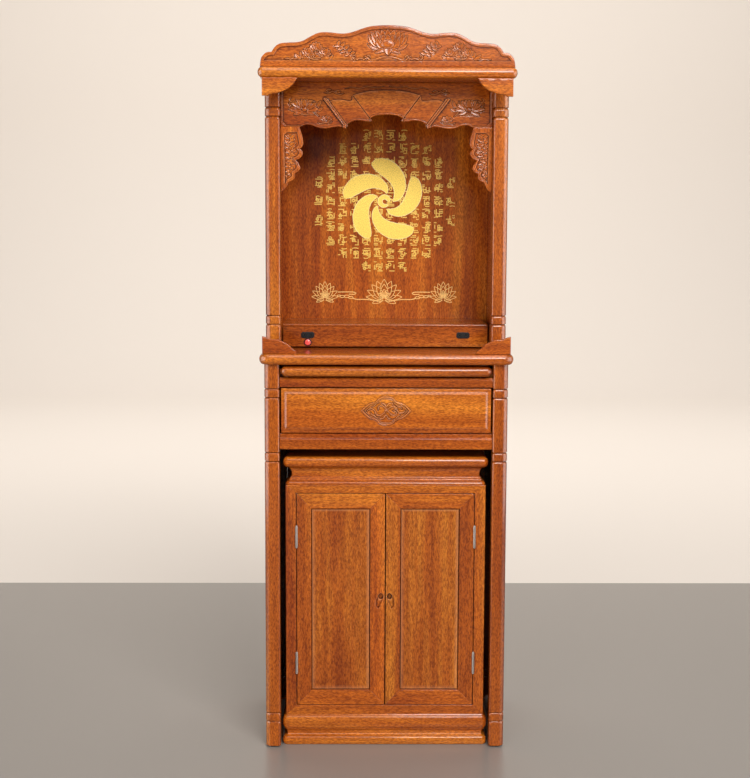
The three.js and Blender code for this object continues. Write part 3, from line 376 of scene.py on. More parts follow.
LOWER_RINGS, UPPER_RINGS = (84, 807.3, 980.3), (1171.7, 1728.8)
for level, rings in (("lower", LOWER_RINGS), ("upper", UPPER_RINGS)):
    for row in ("front", "rear"):
        for side in ("left", "right"):
            node = f"{level}_post_{row}_{side}"
            if node.startswith("upper_post_rear"):
                continue
            low, high = box_mm(node)
            outer, inner = (17, 6.5) if row == "front" else (4, 4)
            radii = (outer, inner) if side == "left" else (inner, outer)
            levels = post_levels(low.z, high.z, rings)
            vertices, faces = stack([post_section(low, high, inset, radii, z) for z, inset, shade_and_stain in levels])
            corners = len(vertices) // len(levels)
            # painted shade per vertex, darkening the grooves
            shades_and_stains = np.repeat([shade_and_stain for z, inset, shade_and_stain in levels], corners)
            shift = (low.x * 0.013, low.y * 0.017, low.z * 0.003)
            wood = lacquered_wood(f"wood_{node}", "Z", 0.95, shift)
            keep(node.replace("post", "square_post"), vertices, faces, wood, "altar_frame", [node],
                 hollow=shades_and_stains)

for side in ("left", "right"):
    node = f"upper_post_rear_{side}"
    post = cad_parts[node]
    post.data.materials.clear()
    post.data.materials.append(lacquered_wood(f"wood_{node}", "Z", 0.85, (0.3, 0.1, 0)))

# ---------------------------------------------------------------- side boards, back board and carcass
# Plain veneered boards that close the stand and the inner cabinet, and the drawer's open box. Their own
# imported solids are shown, each with the finish of its wood.

shown_as_packed = {
    "lower_side_left": lacquered_wood("wood_lower_sides", "Z", 0.72, (0.2, 0.4, 0)),
    "lower_back": lacquered_wood("wood_lower_back", "Z", 0.6, (0.7, 0.1, 0)),
    "cabinet_side_left": lacquered_wood("wood_carcass_sides", "Z", 0.75, (0.5, 0.9, 0)),
    "cabinet_back": lacquered_wood("wood_carcass_back", "Z", 0.6, (0.1, 0.6, 0)),
    "cabinet_floor": lacquered_wood("wood_carcass_floor", "X", 0.65, (0.9, 0.3, 0)),
    "upper_side_left": lacquered_wood("wood_shrine_sides", "Z", 0.9, (0.35, 0.2, 0), 0.2),
    "drawer_box": lacquered_wood("wood_drawer_box", "X", 1.25, (0.4, 0.5, 0)),
}
for node, wood in shown_as_packed.items():
    for name in {node, node.replace("_left", "_right")}:
        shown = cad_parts[name]
        shown.data.materials.clear()
        shown.data.materials.append(wood)

# ---------------------------------------------------------------- rails of the stand
# Two solid rails between the front posts, each with its front edges eased and a narrow strip set back along
# its top: one under the pull-out board, and one under the drawer.


def plain_board(name, node, material, body, bevel=0.9):
    """A rectangular board the size of its node, with softened arrises."""
    low, high = box_mm(node)
    corners = [(low.x, low.y), (high.x, low.y), (high.x, high.y), (low.x, high.y)]
    vertices, faces = stack([[(x, y, z) for x, y in corners] for z in (low.z, high.z)])
    return keep(name, vertices, faces, material, body, [node], bevel)


def run_across(name, node, section, material, body, bevel=1.0):
    """A section in y and z (anticlockwise seen from the right) run along a node's whole width."""
    low, high = box_mm(node)
    vertices, faces = stack([[(x, y, z) for y, z in section] for x in (low.x, high.x)])
    return keep(name, vertices, faces, material, body, [node], bevel)


low, high = box_mm("tray_rail")
TOP_STEP_HEIGHT, TOP_STEP_SETBACK = 3.2, 6.0
rail_section = [(low.y, low.z), (high.y, low.z), (high.y, high.z), (low.y + TOP_STEP_SETBACK, high.z),
                (low.y + TOP_STEP_SETBACK, high.z - TOP_STEP_HEIGHT), (low.y, high.z - TOP_STEP_HEIGHT)]
run_across("rail_under_board", "tray_rail", rail_section,
           lacquered_wood("wood_tray_rail", "X", 0.95, (0, 0.3, 0.1)), "altar_frame", 1.4)
low, high = box_mm("lower_rail")
STRIP_HEIGHT, STRIP_SETBACK = 13.2, 9.0
rail_top = high.z - STRIP_HEIGHT
rail_section = [(low.y, low.z), (high.y, low.z), (high.y, high.z), (low.y + STRIP_SETBACK, high.z),
                (low.y + STRIP_SETBACK, rail_top), (low.y, rail_top)]
run_across("rail_under_drawer", "lower_rail", rail_section,
           lacquered_wood("wood_lower_rail", "X", 1.0, (0.3, 0.3, 0.4)), "altar_frame", 1.6)

# ---------------------------------------------------------------- altar table
# A thick slab of solid wood, polished, with a half-round edge on its front and sides and rounded corners.


def moulded_ring(half, front, back, corner, inset, z, steps=10):
    """One ring of a slab that is moulded on its front and sides and straight at its back."""
    radius = max(corner - inset, 1)
    ring = [(-half + inset, back, z)]
    for side in (-1, 1):
        for i in range(steps + 1):
            angle = math.pi * (1 + ((side + 1) / 2 + i / steps) / 2)
            ring.append((side * (half - inset - radius) + radius * math.cos(angle),
                         front + inset + radius + radius * math.sin(angle), z))
    return ring + [(half - inset, back, z)]


def half_round(z0, z1, depth, steps=14):
    """Heights and insets of a half-round edge."""
    middle, radius = (z0 + z1) / 2, (z1 - z0) / 2
    angles = [math.pi * (i / steps - 0.5) for i in range(steps + 1)]
    return [(middle + radius * math.sin(angle), depth * (1 - math.cos(angle))) for angle in angles]


def nosed_slab(name, node, corner, material, body):
    """A slab the size of its node with a half-round front and sides."""
    low, high = box_mm(node)
    depth = (high.z - low.z) / 2 * 0.85
    rings = [moulded_ring(high.x, low.y, high.y, corner, inset, z)
             for z, inset in half_round(low.z, high.z, depth)]
    vertices, faces = stack(rings)
    return keep(name, vertices, faces, material, body, [node], sharp=50)


nosed_slab("altar_table", "table_slab", 27,
           lacquered_wood("wood_table", "X", 1.0, (0.6, 0.2, 0.8), gloss=0.3), "altar_frame")

# ---------------------------------------------------------------- corner guards
# Two low shaped boards on the table's front corners, sawn to a stepped curve and rounded along their edges.


def inside(polygon, x, z):
    """Which points lie inside a polygon."""
    polygon = np.asarray(polygon, float)
    within = np.zeros(x.shape, bool)
    for (ax, az), (bx, bz) in zip(polygon, np.roll(polygon, -1, axis=0)):
        if az != bz:
            crossing = ax + (z - az) * (bx - ax) / (bz - az)
            within ^= ((az > z) != (bz > z)) & (x < crossing)
    return within


def reach(line, x, z):
    """The distance from a line, and how far along it the nearest place is, from 0 to 1."""
    line = np.asarray(line, float)
    lengths = np.linalg.norm(np.diff(line, axis=0), axis=1)
    best, along = np.full(x.shape, 1e9), np.zeros(x.shape)
    start = 0
    for (ax, az), (bx, bz), length in zip(line[:-1], line[1:], lengths):
        share = np.clip(((x - ax) * (bx - ax) + (z - az) * (bz - az)) / length ** 2, 0, 1)
        gap = np.hypot(x - ax - share * (bx - ax), z - az - share * (bz - az))
        nearer = gap < best
        best = np.where(nearer, gap, best)
        along = np.where(nearer, start + share * length, along)
        start += length
    return best, along / start


def smooth_line(points, spacing=2.0):
    """A smooth line through the points (Catmull-Rom), with points about this far apart."""
    points = np.asarray(points, float)
    padded = np.vstack([2 * points[0] - points[1], points, 2 * points[-1] - points[-2]])
    line = [points[0]]
    for a, b, c, d in zip(padded[:-3], padded[1:-2], padded[2:-1], padded[3:]):
        count = max(int(np.linalg.norm(c - b) / spacing), 1)
        for i in range(1, count + 1):
            t = i / count
            line.append(0.5 * (2 * b + (c - a) * t + (2 * a - 5 * b + 4 * c - d) * t ** 2
                               + (3 * b - a - 3 * c + d) * t ** 3))
    return np.array(line)


def even_steps(outline, spacing):
    """A closed outline with extra points along its longer sides."""
    dense = []
    for start, end in zip(outline, np.roll(outline, -1, axis=0)):
        count = max(int(np.linalg.norm(end - start) / spacing), 1)
        dense.extend(start + (end - start) * i / count for i in range(count))
    return np.array(dense)


def inset_points(outline, distance):
    """The corners of an anticlockwise outline moved inwards."""
    before, after = np.roll(outline, 1, axis=0), np.roll(outline, -1, axis=0)
    first = (outline - before) / np.linalg.norm(outline - before, axis=1)[:, None]
    second = (after - outline) / np.linalg.norm(after - outline, axis=1)[:, None]
    normal = np.stack([-(first + second)[:, 1], (first + second)[:, 0]], axis=1)
    length = np.linalg.norm(normal, axis=1)
    normal /= np.maximum(length, 1e-6)[:, None]
    return outline + normal * distance / np.maximum(length / 2, 0.5)[:, None]


class Carving:
    """The front of an upright board as a height over x and z, worked by one form after another."""

    def __init__(self, outline, thickness, step=0.7, spacing=1.2, arris=1.5):
        self.outline = even_steps(np.asarray(outline, float), spacing)
        self.thickness, self.step, self.arris = thickness, step, arris
        self.works, self.creases = [], []

    def work(self, line, margin, form):
        """Adds one form; it changes heights only near its line."""
        line = np.asarray(line, float)
        self.works.append((line.min(axis=0) - margin, line.max(axis=0) + margin, form))

    def heights(self, x, z):
        """The height of the front at any points."""
        h = np.full(x.shape, float(self.thickness))
        for low, high, form in self.works:
            near = (x > low[0]) & (x < high[0]) & (z > low[1]) & (z < high[1])
            if near.any():
                h[near] = form(x[near], z[near], h[near])
        return h

    def undercut(self, line, margin, depth):
        """Cuts the ground down beside a form, so that it stands clear."""
        def form(x, z, h):
            share = np.clip(reach(line, x, z)[0] / margin, 0, 1)
            return h - depth * (1 - share ** 2)
        self.work(line, margin, form)

    def area(self, polygon, height, slope=1.0, crease=True):
        """A flat area at its own height, with a sloping edge inside its outline."""
        polygon = np.asarray(polygon, float)
        closed = np.vstack([polygon, polygon[:1]])

        def form(x, z, h):
            depth = np.where(inside(polygon, x, z), reach(closed, x, z)[0], 0)
            return h + (height - h) * np.clip(depth / slope, 0, 1)
        self.work(polygon, 0.1, form)
        if crease:
            dense = even_steps(polygon, 2.5)
            self.creases += [dense, inset_points(dense, slope)]

    def ridge(self, line, width, height, ground, taper=0.35):
        """A rounded ridge along a line, thinner at its ends."""
        def form(x, z, h):
            gap, along = reach(line, x, z)
            half = width / 2 * (taper + (1 - taper) * np.sin(np.pi * along) ** 0.6)
            share = np.clip(gap / half, 0, 1)
            return np.where(share < 1, ground + height * np.sqrt(1 - share ** 2), h)
        self.undercut(line, width / 2 + 1.3, 1.1)
        self.work(line, width / 2, form)

    def groove(self, line, width, depth):
        """A rounded cut along a line."""
        def form(x, z, h):
            share = np.clip(reach(line, x, z)[0] / (width / 2), 0, 1)
            return h - depth * (1 - share ** 2)
        self.work(line, width / 2, form)

    def dome(self, centre, radius_x, radius_z, height, ground):
        """A low round form such as a bud or a seed pod."""
        def form(x, z, h):
            share = np.hypot((x - centre[0]) / radius_x, (z - centre[1]) / radius_z)
            return np.where(share < 1, ground + height * np.sqrt(np.clip(1 - share ** 2.4, 0, 1)), h)
        corner = np.array([radius_x, radius_z])
        self.work([np.array(centre) - corner, np.array(centre) + corner], 0.5, form)

    def petal(self, foot, tip, width, height, ground, scoop=0.45, bend=0.0, fullness=0.5):
        """A pointed petal or leaf with a raised lip and a hollow middle; it lies over what was cut before."""
        foot, tip = np.asarray(foot, float), np.asarray(tip, float)
        axis = tip - foot
        length = np.linalg.norm(axis)
        axis /= length
        side = np.array([-axis[1], axis[0]])
        peak = fullness ** fullness * 0.8 ** 0.8 / (fullness + 0.8) ** (fullness + 0.8)
        steps = np.linspace(0, 1, 9)[:, None]
        halves = width / 2 * steps ** fullness * (1 - steps) ** 0.8 / peak
        spine = foot + axis * length * steps + side * bend * 4 * steps * (1 - steps)
        self.undercut(np.vstack([spine + side * halves, (spine - side * halves)[::-1][1:]]), 1.5, 1.0)

        def form(x, z, h):
            share = np.clip(((x - foot[0]) * axis[0] + (z - foot[1]) * axis[1]) / length, 0, 1)
            across = (x - foot[0]) * side[0] + (z - foot[1]) * side[1] - bend * 4 * share * (1 - share)
            half = width / 2 * share ** fullness * (1 - share) ** 0.8 / peak
            edge = np.abs(across) / np.maximum(half, 1e-6)
            lip = np.sqrt(np.clip(1 - edge ** 5, 0, 1)) * (1 - scoop * (1 - edge ** 2))
            rise = height * (0.5 + 0.5 * share) * lip
            return np.where((edge < 1) & (share > 0) & (share < 1), ground + rise, h)
        self.work([foot, tip], width / 2 + abs(bend), form)

    def grid(self):
        """The sheet of sample points over the whole board."""
        low, high = self.outline.min(axis=0), self.outline.max(axis=0)
        counts = np.ceil((high - low) / self.step).astype(int) + 1
        return low, np.meshgrid(low[0] + self.step * np.arange(counts[0]),
                                low[1] + self.step * np.arange(counts[1]))

    def near_outline(self, low, shape, distance):
        """Which sample points lie closer to the outline than a distance."""
        gap = np.full(shape, 1e9)
        dense = even_steps(self.outline, 0.5)
        cell = np.round((dense - low) / self.step).astype(int)
        window = int(distance / self.step) + 2
        for k in range(-window, window + 1):
            for i in range(-window, window + 1):
                row, column = cell[:, 1] + k, cell[:, 0] + i
                held = (row >= 0) & (row < shape[0]) & (column >= 0) & (column < shape[1])
                row, column, points = row[held], column[held], dense[held]
                away = np.hypot(low[0] + column * self.step - points[:, 0],
                                low[1] + row * self.step - points[:, 1])
                np.minimum.at(gap, (row, column), away)
        return gap < distance

    def mesh(self, back):
        """Vertices, faces, and the painted shade (hollow) and painted highlight (arris) values of each
        vertex; the back is at a given y.
        """
        low, (x, z) = self.grid()
        h = self.heights(x, z)
        bend = np.zeros(h.shape)
        bend[1:-1, 1:-1] = np.abs(np.stack([
            h[2:, 1:-1] + h[:-2, 1:-1] - 2 * h[1:-1, 1:-1], h[1:-1, 2:] + h[1:-1, :-2] - 2 * h[1:-1, 1:-1],
            h[2:, 2:] + h[:-2, :-2] - 2 * h[1:-1, 1:-1]])).max(axis=0)
        busy = bend > 0.03
        busy[1:] |= busy[:-1].copy()
        busy[:, 1:] |= busy[:, :-1].copy()
        coarse = np.zeros(h.shape, bool)
        coarse[::9, ::9] = True
        kept = (busy | coarse) & inside(self.outline, x, z)
        kept &= ~self.near_outline(low, h.shape, self.arris + 0.5)

        rings = [(self.arris * (1 - math.cos(angle)), self.arris * (1 - math.sin(angle)))
                 for angle in (math.radians(degrees) for degrees in (0, 25, 50, 90))]
        top = inset_points(self.outline, self.arris)
        top_heights = self.heights(top[:, 0], top[:, 1])
        points = [inset_points(self.outline, distance) for distance, drop in rings]
        values = [top_heights - drop for distance, drop in rings]
        points.append(np.stack([x[kept], z[kept]], axis=1))
        values.append(h[kept])
        edges = [(i, (i + 1) % len(self.outline)) for i in range(len(self.outline))]
        count = sum(map(len, points))
        for crease in self.creases:
            held = inside(self.outline, crease[:, 0], crease[:, 1])
            points.append(crease[held])
            values.append(self.heights(crease[held][:, 0], crease[held][:, 1]))
            number = np.cumsum(held) - 1 + count
            follow = np.roll(held, -1)
            edges += [(int(number[i]), int(number[(i + 1) % len(crease)]))
                      for i in range(len(crease)) if held[i] and follow[i]]
            count += int(held.sum())
        points, values = np.vstack(points), np.concatenate(values)
        flat, _, faces, origins, _, _ = delaunay_2d_cdt(
            [Vector(point) for point in points], edges, [list(range(len(self.outline)))], 1, 1e-4)
        flat = np.array([tuple(point) for point in flat])
        height = self.heights(flat[:, 0], flat[:, 1])
        place = {}
        for number, sources in enumerate(origins):
            for source in sources:
                place[source] = number
            if sources:
                height[number] = values[sources[0]]
        rim = [place[i] for i in range(len(self.outline))]
        start = len(flat)
        vertices = [(px, back - ph, pz) for (px, pz), ph in zip(flat, height)]
        vertices += [(px, back, pz) for px, pz in self.outline]
        faces = [tuple(face) for face in faces]
        for i in range(len(rim)):
            k = (i + 1) % len(rim)
            faces.append((rim[k], rim[i], start + i, start + k))
        faces.append(tuple(start + i for i in reversed(range(len(rim)))))
        return vertices, faces, self.hollows(h, low, flat, len(rim))

    def hollows(self, h, low, flat, extra):
        """How far each vertex lies below and above the mean height around it, given as painted shade and
        painted highlight.
        """
        def mean(sheet, reach_cells):
            for axis in (0, 1):
                padded = np.concatenate([np.repeat(sheet.take([0], axis), reach_cells + 1, axis), sheet,
                                         np.repeat(sheet.take([-1], axis), reach_cells, axis)], axis)
                total = np.cumsum(padded, axis)
                width = 2 * reach_cells + 1
                upper = total.take(range(width, total.shape[axis]), axis)
                sheet = (upper - total.take(range(total.shape[axis] - width), axis)) / width
            return sheet
        near, wide = mean(h, 2), mean(h, 6)
        cell = np.clip(np.round((flat - low) / self.step).astype(int), 0, np.array(h.shape)[::-1] - 1)
        # cavity is painted shade, with some staining, in the cuts; crest_highlight is a painted highlight on
        # the arrises
        cavity = np.clip((near - h - 0.05) / 0.5, 0, 1) * 0.75 + np.clip((wide - h) / 1.8, 0, 1) * 0.5
        crest_highlight = np.clip((h - near - 0.1) / 0.7, 0, 1) * 0.45
        return [np.concatenate([np.clip(sheet[cell[:, 1], cell[:, 0]], 0, 1), np.zeros(extra)])
                for sheet in (cavity, crest_highlight)]

    def finish(self, name, back, material, body, nodes, slot, sharp=50):
        """Makes the board and gives it its place in the frame."""
        vertices, faces, (hollow, crest_highlight) = self.mesh(back)
        mesh = bpy.data.meshes.new(name)
        mesh.from_pydata([(vx * MM, vy * MM, vz * MM) for vx, vy, vz in vertices], [], faces)
        mesh.materials.append(material)
        # hollow carries painted shade with some staining, arris a painted highlight
        mesh.attributes.new("hollow", "FLOAT", "POINT").data.foreach_set("value", hollow)
        mesh.attributes.new("arris", "FLOAT", "POINT").data.foreach_set("value", crest_highlight)
        piece = bpy.data.objects.new(name, mesh)
        scene.collection.objects.link(piece)
        return settle(piece, body, nodes, sharp=sharp)


def mirror_line(points):
    """The same line on the other half of the object."""
    return [(-px, pz) for px, pz in points][::-1]


GUARD_CURVE = [(0, 1), (0.09, 0.955), (0.18, 0.875), (0.3, 0.82), (0.4, 0.83), (0.49, 0.79), (0.58, 0.7),
               (0.66, 0.62), (0.74, 0.53), (0.81, 0.4), (0.86, 0.28), (0.92, 0.23), (0.96, 0.12), (1, 0)]
for side, factor in (("right", 1), ("left", -1)):
    low, high = box_mm(f"wing_{side}")
    inner, outer = (low.x, high.x) if factor > 0 else (-high.x, -low.x)
    z0 = low.z
    rise, width = high.z - z0, outer - inner
    curve = smooth_line([(outer - width * along, z0 + rise * height) for along, height in GUARD_CURVE])
    outline = [(outer, z0), *curve.tolist()]
    if factor < 0:
        outline = mirror_line(outline)
    guard = Carving(outline, high.y - low.y, step=4, spacing=2, arris=2.2)
    wood = lacquered_wood(f"wood_guard_{side}", "X", 1.05, (inner * 0.01, 0, 0))
    guard.finish(f"corner_guard_{side}", high.y, wood, "altar_frame", [f"wing_{side}"], "lacquered_wood")

# ---------------------------------------------------------------- pull-out board
# A flat board on side runners, with a thick half-round front edge whose ends are rounded too.

low, high = box_mm("tray_board")
EDGE_DEPTH, END_GAP, END_ROUND, BOARD_BELOW_TOP, BOARD_THICKNESS = 26, 3.4, 14, 8.7, 14
nose_levels = half_round(low.z + 0.8, high.z - 0.8, (high.z - low.z) / 2 * 0.85)
nose, nose_faces = stack([moulded_ring(high.x - END_GAP, low.y, low.y + EDGE_DEPTH, END_ROUND, inset, z)
                          for z, inset in nose_levels])
board_top = high.z - BOARD_BELOW_TOP
board_front = low.y + EDGE_DEPTH - 1
board, board_faces = stack([[(low.x, board_front, z), (high.x, board_front, z), (high.x, high.y, z),
                             (low.x, high.y, z)] for z in (board_top - BOARD_THICKNESS, board_top)])
faces = nose_faces + [tuple(index + len(nose) for index in face) for face in board_faces]
keep("pull_out_board", nose + board, faces, lacquered_wood("wood_tray", "X", 0.9, (0.8, 0.1, 0.2)),
     "pull_out_board", ["tray_board"], sharp=50)

# ---------------------------------------------------------------- drawer front
# A thick board with a bevelled raised field, carved in its middle with a lobed cartouche: a beaded band, a
# second line inside it, and knotted scrolls that pass over and under each other.

low, high = box_mm("drawer_front")
DRAWER_BOARD, FIELD_RISE, FIELD_MARGIN, FIELD_BEVEL, SIDE_GAP = 20, 3, 9.0, 6, 2.0
half_width, z0, z1 = high.x - SIDE_GAP, low.z + 0.8, high.z - 0.8
middle_z = (z0 + z1) / 2
drawer = Carving([(-half_width, z0), (half_width, z0), (half_width, z1), (-half_width, z1)], DRAWER_BOARD,
                 step=0.6, spacing=3, arris=1.6)
fx, fz0, fz1 = half_width - FIELD_MARGIN, z0 + FIELD_MARGIN, z1 - FIELD_MARGIN
drawer.area([(-fx, fz0), (fx, fz0), (fx, fz1), (-fx, fz1)], DRAWER_BOARD + FIELD_RISE, FIELD_BEVEL)
FIELD = DRAWER_BOARD + FIELD_RISE
quarter_upper = smooth_line([(0, 39.5), (11, 38.2), (20, 34.5), (24.5, 28), (33, 22.7)], 1.2)
quarter_outer = smooth_line([(33, 22.7), (45, 20.2), (57.5, 11.5), (68.5, 0)], 1.2)


def four_ways(quarter):
    """A closed outline from its upper right quarter, anticlockwise."""
    quarter = np.asarray(quarter)[::-1]
    upper = np.vstack([quarter, (quarter[::-1] * (-1, 1))[1:]])
    return np.vstack([upper, (upper * -1)[1:-1]])


cartouche = four_ways(np.vstack([quarter_upper, quarter_outer[1:]]))


def scaled(line, share):
    """A line about the drawer's middle at a share of its size, moved to its place."""
    return np.asarray(line) * share + (0, middle_z)


def closed(line):
    """A line that ends where it began."""
    return np.vstack([line, line[:1]])


drawer.area(scaled(cartouche, 0.985), FIELD - 0.9, 1.2, crease=False)
drawer.ridge(closed(scaled(cartouche, 0.945)), 4.6, 2.3, FIELD, taper=1)
drawer.ridge(closed(scaled(cartouche, 0.835)), 2.4, 1.3, FIELD - 0.9, taper=1)
scrolls = [
    ([(-52, 0), (-44, 5), (-36, 5), (-30, -1), (-27, -9), (-20, -13), (-12, -11), (-4, -4), (6, 6), (15, 12),
      (23, 10), (24, 3), (18, 1)], 4.2),
    ([(52, 0), (44, -5), (36, -5), (30, 1), (27, 9), (20, 14)], 3.8),
    ([(-22, 3), (-19, 12), (-10, 14), (-2, 7), (7, -3), (16, -11), (26, -10), (27, -3), (21, -1)], 4.2),
    ([(-13, 22), (-5, 19), (0, 12), (7, 19), (15, 21), (19, 16)], 3.6),
    ([(13, -22), (5, -19), (0, -11), (-7, -19), (-15, -21), (-19, -17)], 3.6),
    ([(-42, -4), (-38, -10), (-31, -13), (-26, -18), (-18, -19)], 3.2),
    ([(42, 5), (38, 11), (31, 13), (26, 18), (20, 22)], 3.2),
    ([(-38, 11), (-31, 15), (-26, 21), (-19, 23)], 3.0),
    ([(38, -11), (31, -15), (26, -21), (19, -23)], 3.0)]
for line, width in scrolls:
    curve = smooth_line(line, 1.0) + (0, middle_z)
    drawer.groove(curve, width + 2.2, 0.7)
    drawer.ridge(curve, width, 2.6, FIELD - 0.9, taper=0.5)
drawer.dome((0, middle_z), 4.2, 4.2, 3.0, FIELD - 0.9)
for x in (-47, 47):
    drawer.dome((x, middle_z + (8 if x > 0 else -8)), 2.6, 2.6, 2.0, FIELD - 0.9)
drawer.finish("carved_drawer_front", high.y, lacquered_wood("wood_drawer_front", "X", 1.0, (0.5, 0.6, 0.1)),
              "drawer", ["drawer_front"], "lacquered_wood")

# ---------------------------------------------------------------- inner cabinet: base, neck and top
# A hollow base frame with a torus, a cove and a bead; a neck with a rounded shoulder and two small rounded
# steps under a cove; and a top slab with a half-round edge. All are moulded on the front and both sides.


def bulge(z0, z1, inset, depth, steps=12):
    """A half-round moulding between two heights that stands out from an inset."""
    shares = [i / steps * 2 - 1 for i in range(steps + 1)]
    return [((z0 + z1) / 2 + (z1 - z0) / 2 * math.sin(math.pi / 2 * share),
             inset - depth * math.cos(math.pi / 2 * share)) for share in shares]


def cove(z0, inset0, z1, inset1, steps=8):
    """A hollow moulding from one height and inset to another."""
    angles = [math.pi / 2 * i / steps for i in range(steps + 1)]
    if inset1 < inset0:
        return [(z0 + (z1 - z0) * math.sin(a),
                 inset0 + (inset1 - inset0) * (1 - math.cos(a))) for a in angles]
    return [(z0 + (z1 - z0) * (1 - math.cos(a)), inset0 + (inset1 - inset0) * math.sin(a)) for a in angles]


def hollow_moulding(name, node, corner, layers, wall, material):
    """A moulded frame the size of its node, open at its top and bottom; layers are (height, inset)."""
    low, high = box_mm(node)
    outside = [moulded_ring(high.x, low.y, high.y, corner, inset, z) for z, inset in layers]
    side, front, back = wall
    inner = [moulded_ring(high.x - side, low.y + front, high.y - back, 2, 0, z) for z in (high.z, low.z)]
    vertices, faces = stack(outside + inner)
    faces = faces[:-2]
    count, last = len(outside[0]), (len(outside) + 1) * len(outside[0])
    for i in range(count):
        k = (i + 1) % count
        faces.append((last + i, last + k, k, i))
    return keep(name, vertices, faces, material, "altar_frame", [node], sharp=38)


base_low, base_high = box_mm("cabinet_base")
BASE_HEIGHT = base_high.z - base_low.z
base_layers = (bulge(0, 23, 5, 4.9) + [(24.2, 8), (25.2, 11)] + cove(25.2, 13.6, 43, 6.5)[1:] + [(45, 5.6)]
               + bulge(46.5, 81, 5.6, 5.6) + [(82, 8.2), (BASE_HEIGHT, 9.5)])
hollow_moulding("cabinet_base_moulding", "cabinet_base", 14, base_layers, (28, 44, 20),
                lacquered_wood("wood_base", "X", 1.0, (0.2, 0.9, 0.3)))

neck_low, neck_high = box_mm("cabinet_neck")
z = neck_low.z
shoulder = [(z + 1.5 + 8.5 * math.sin(angle), 7.5 * (1 - math.cos(angle))) for angle in
            (math.pi / 2 * i / 8 for i in range(9))]
neck_layers = [(z, 0.5), (z + 0.6, 0)] + shoulder + [(z + 10.3, 9.6)]
for start, inset in ((10.8, 9.6), (16.2, 12.6)):
    neck_layers += [(z + start + 1.2 + 3.8 * math.sin(angle), inset + 2.6 * (1 - math.cos(angle)))
                    for angle in (math.pi / 2 * i / 5 for i in range(6))]
neck_layers += [(z + 21.6, 16.4)] + [(height, inset) for height, inset in cove(z + 25, 16.6, neck_high.z, 5)]
hollow_moulding("cabinet_neck_moulding", "cabinet_neck", 12, neck_layers, (18, 34, 19),
                lacquered_wood("wood_neck", "X", 0.95, (0.7, 0.4, 0.6)))

nosed_slab("cabinet_top_slab", "cabinet_top", 14,
           lacquered_wood("wood_cabinet_top", "X", 1.0, (0.1, 0.2, 0.9)), "altar_frame")

# ---------------------------------------------------------------- inner cabinet: face frame
# Four flat members mitred at the corners around the doorway; the grain follows each member.

low, high = box_mm("cabinet_face_frame")
DOORWAY_HALF, DOORWAY_BOTTOM, DOORWAY_TOP = 244, 110.5, 706
outer = [(low.x, low.z), (high.x, low.z), (high.x, high.z), (low.x, high.z)]
inner = [(-DOORWAY_HALF, DOORWAY_BOTTOM), (DOORWAY_HALF, DOORWAY_BOTTOM), (DOORWAY_HALF, DOORWAY_TOP),
         (-DOORWAY_HALF, DOORWAY_TOP)]
vertices, faces = [], []
for i in range(4):
    k = (i + 1) % 4
    corners = [outer[i], outer[k], inner[k], inner[i]]
    member, member_faces = stack([[(x, y, z) for x, z in corners] for y in (high.y, low.y)])
    faces += [tuple(index + len(vertices) for index in face) for face in member_faces]
    vertices += member
frame_finishes = [lacquered_wood("wood_face_rails", "X", 0.95, (0.4, 0.4, 0.7)),
                  lacquered_wood("wood_face_stiles", "Z", 0.95, (0.6, 0.1, 0.5))]
face_frame = keep("face_frame", vertices, faces, frame_finishes, "altar_frame", ["cabinet_face_frame"],
                  bevel=0.7)
for polygon in face_frame.data.polygons:
    centre = polygon.center / MM
    polygon.material_index = int(abs(centre.x) > DOORWAY_HALF)

# ---------------------------------------------------------------- doors
# Each door is a mitred frame around a flat, darker panel that lies a little behind it with a sunk margin. A
# leaf-shaped finger pull is scooped into the stile at the middle, with a hole bored at the scoop's top.

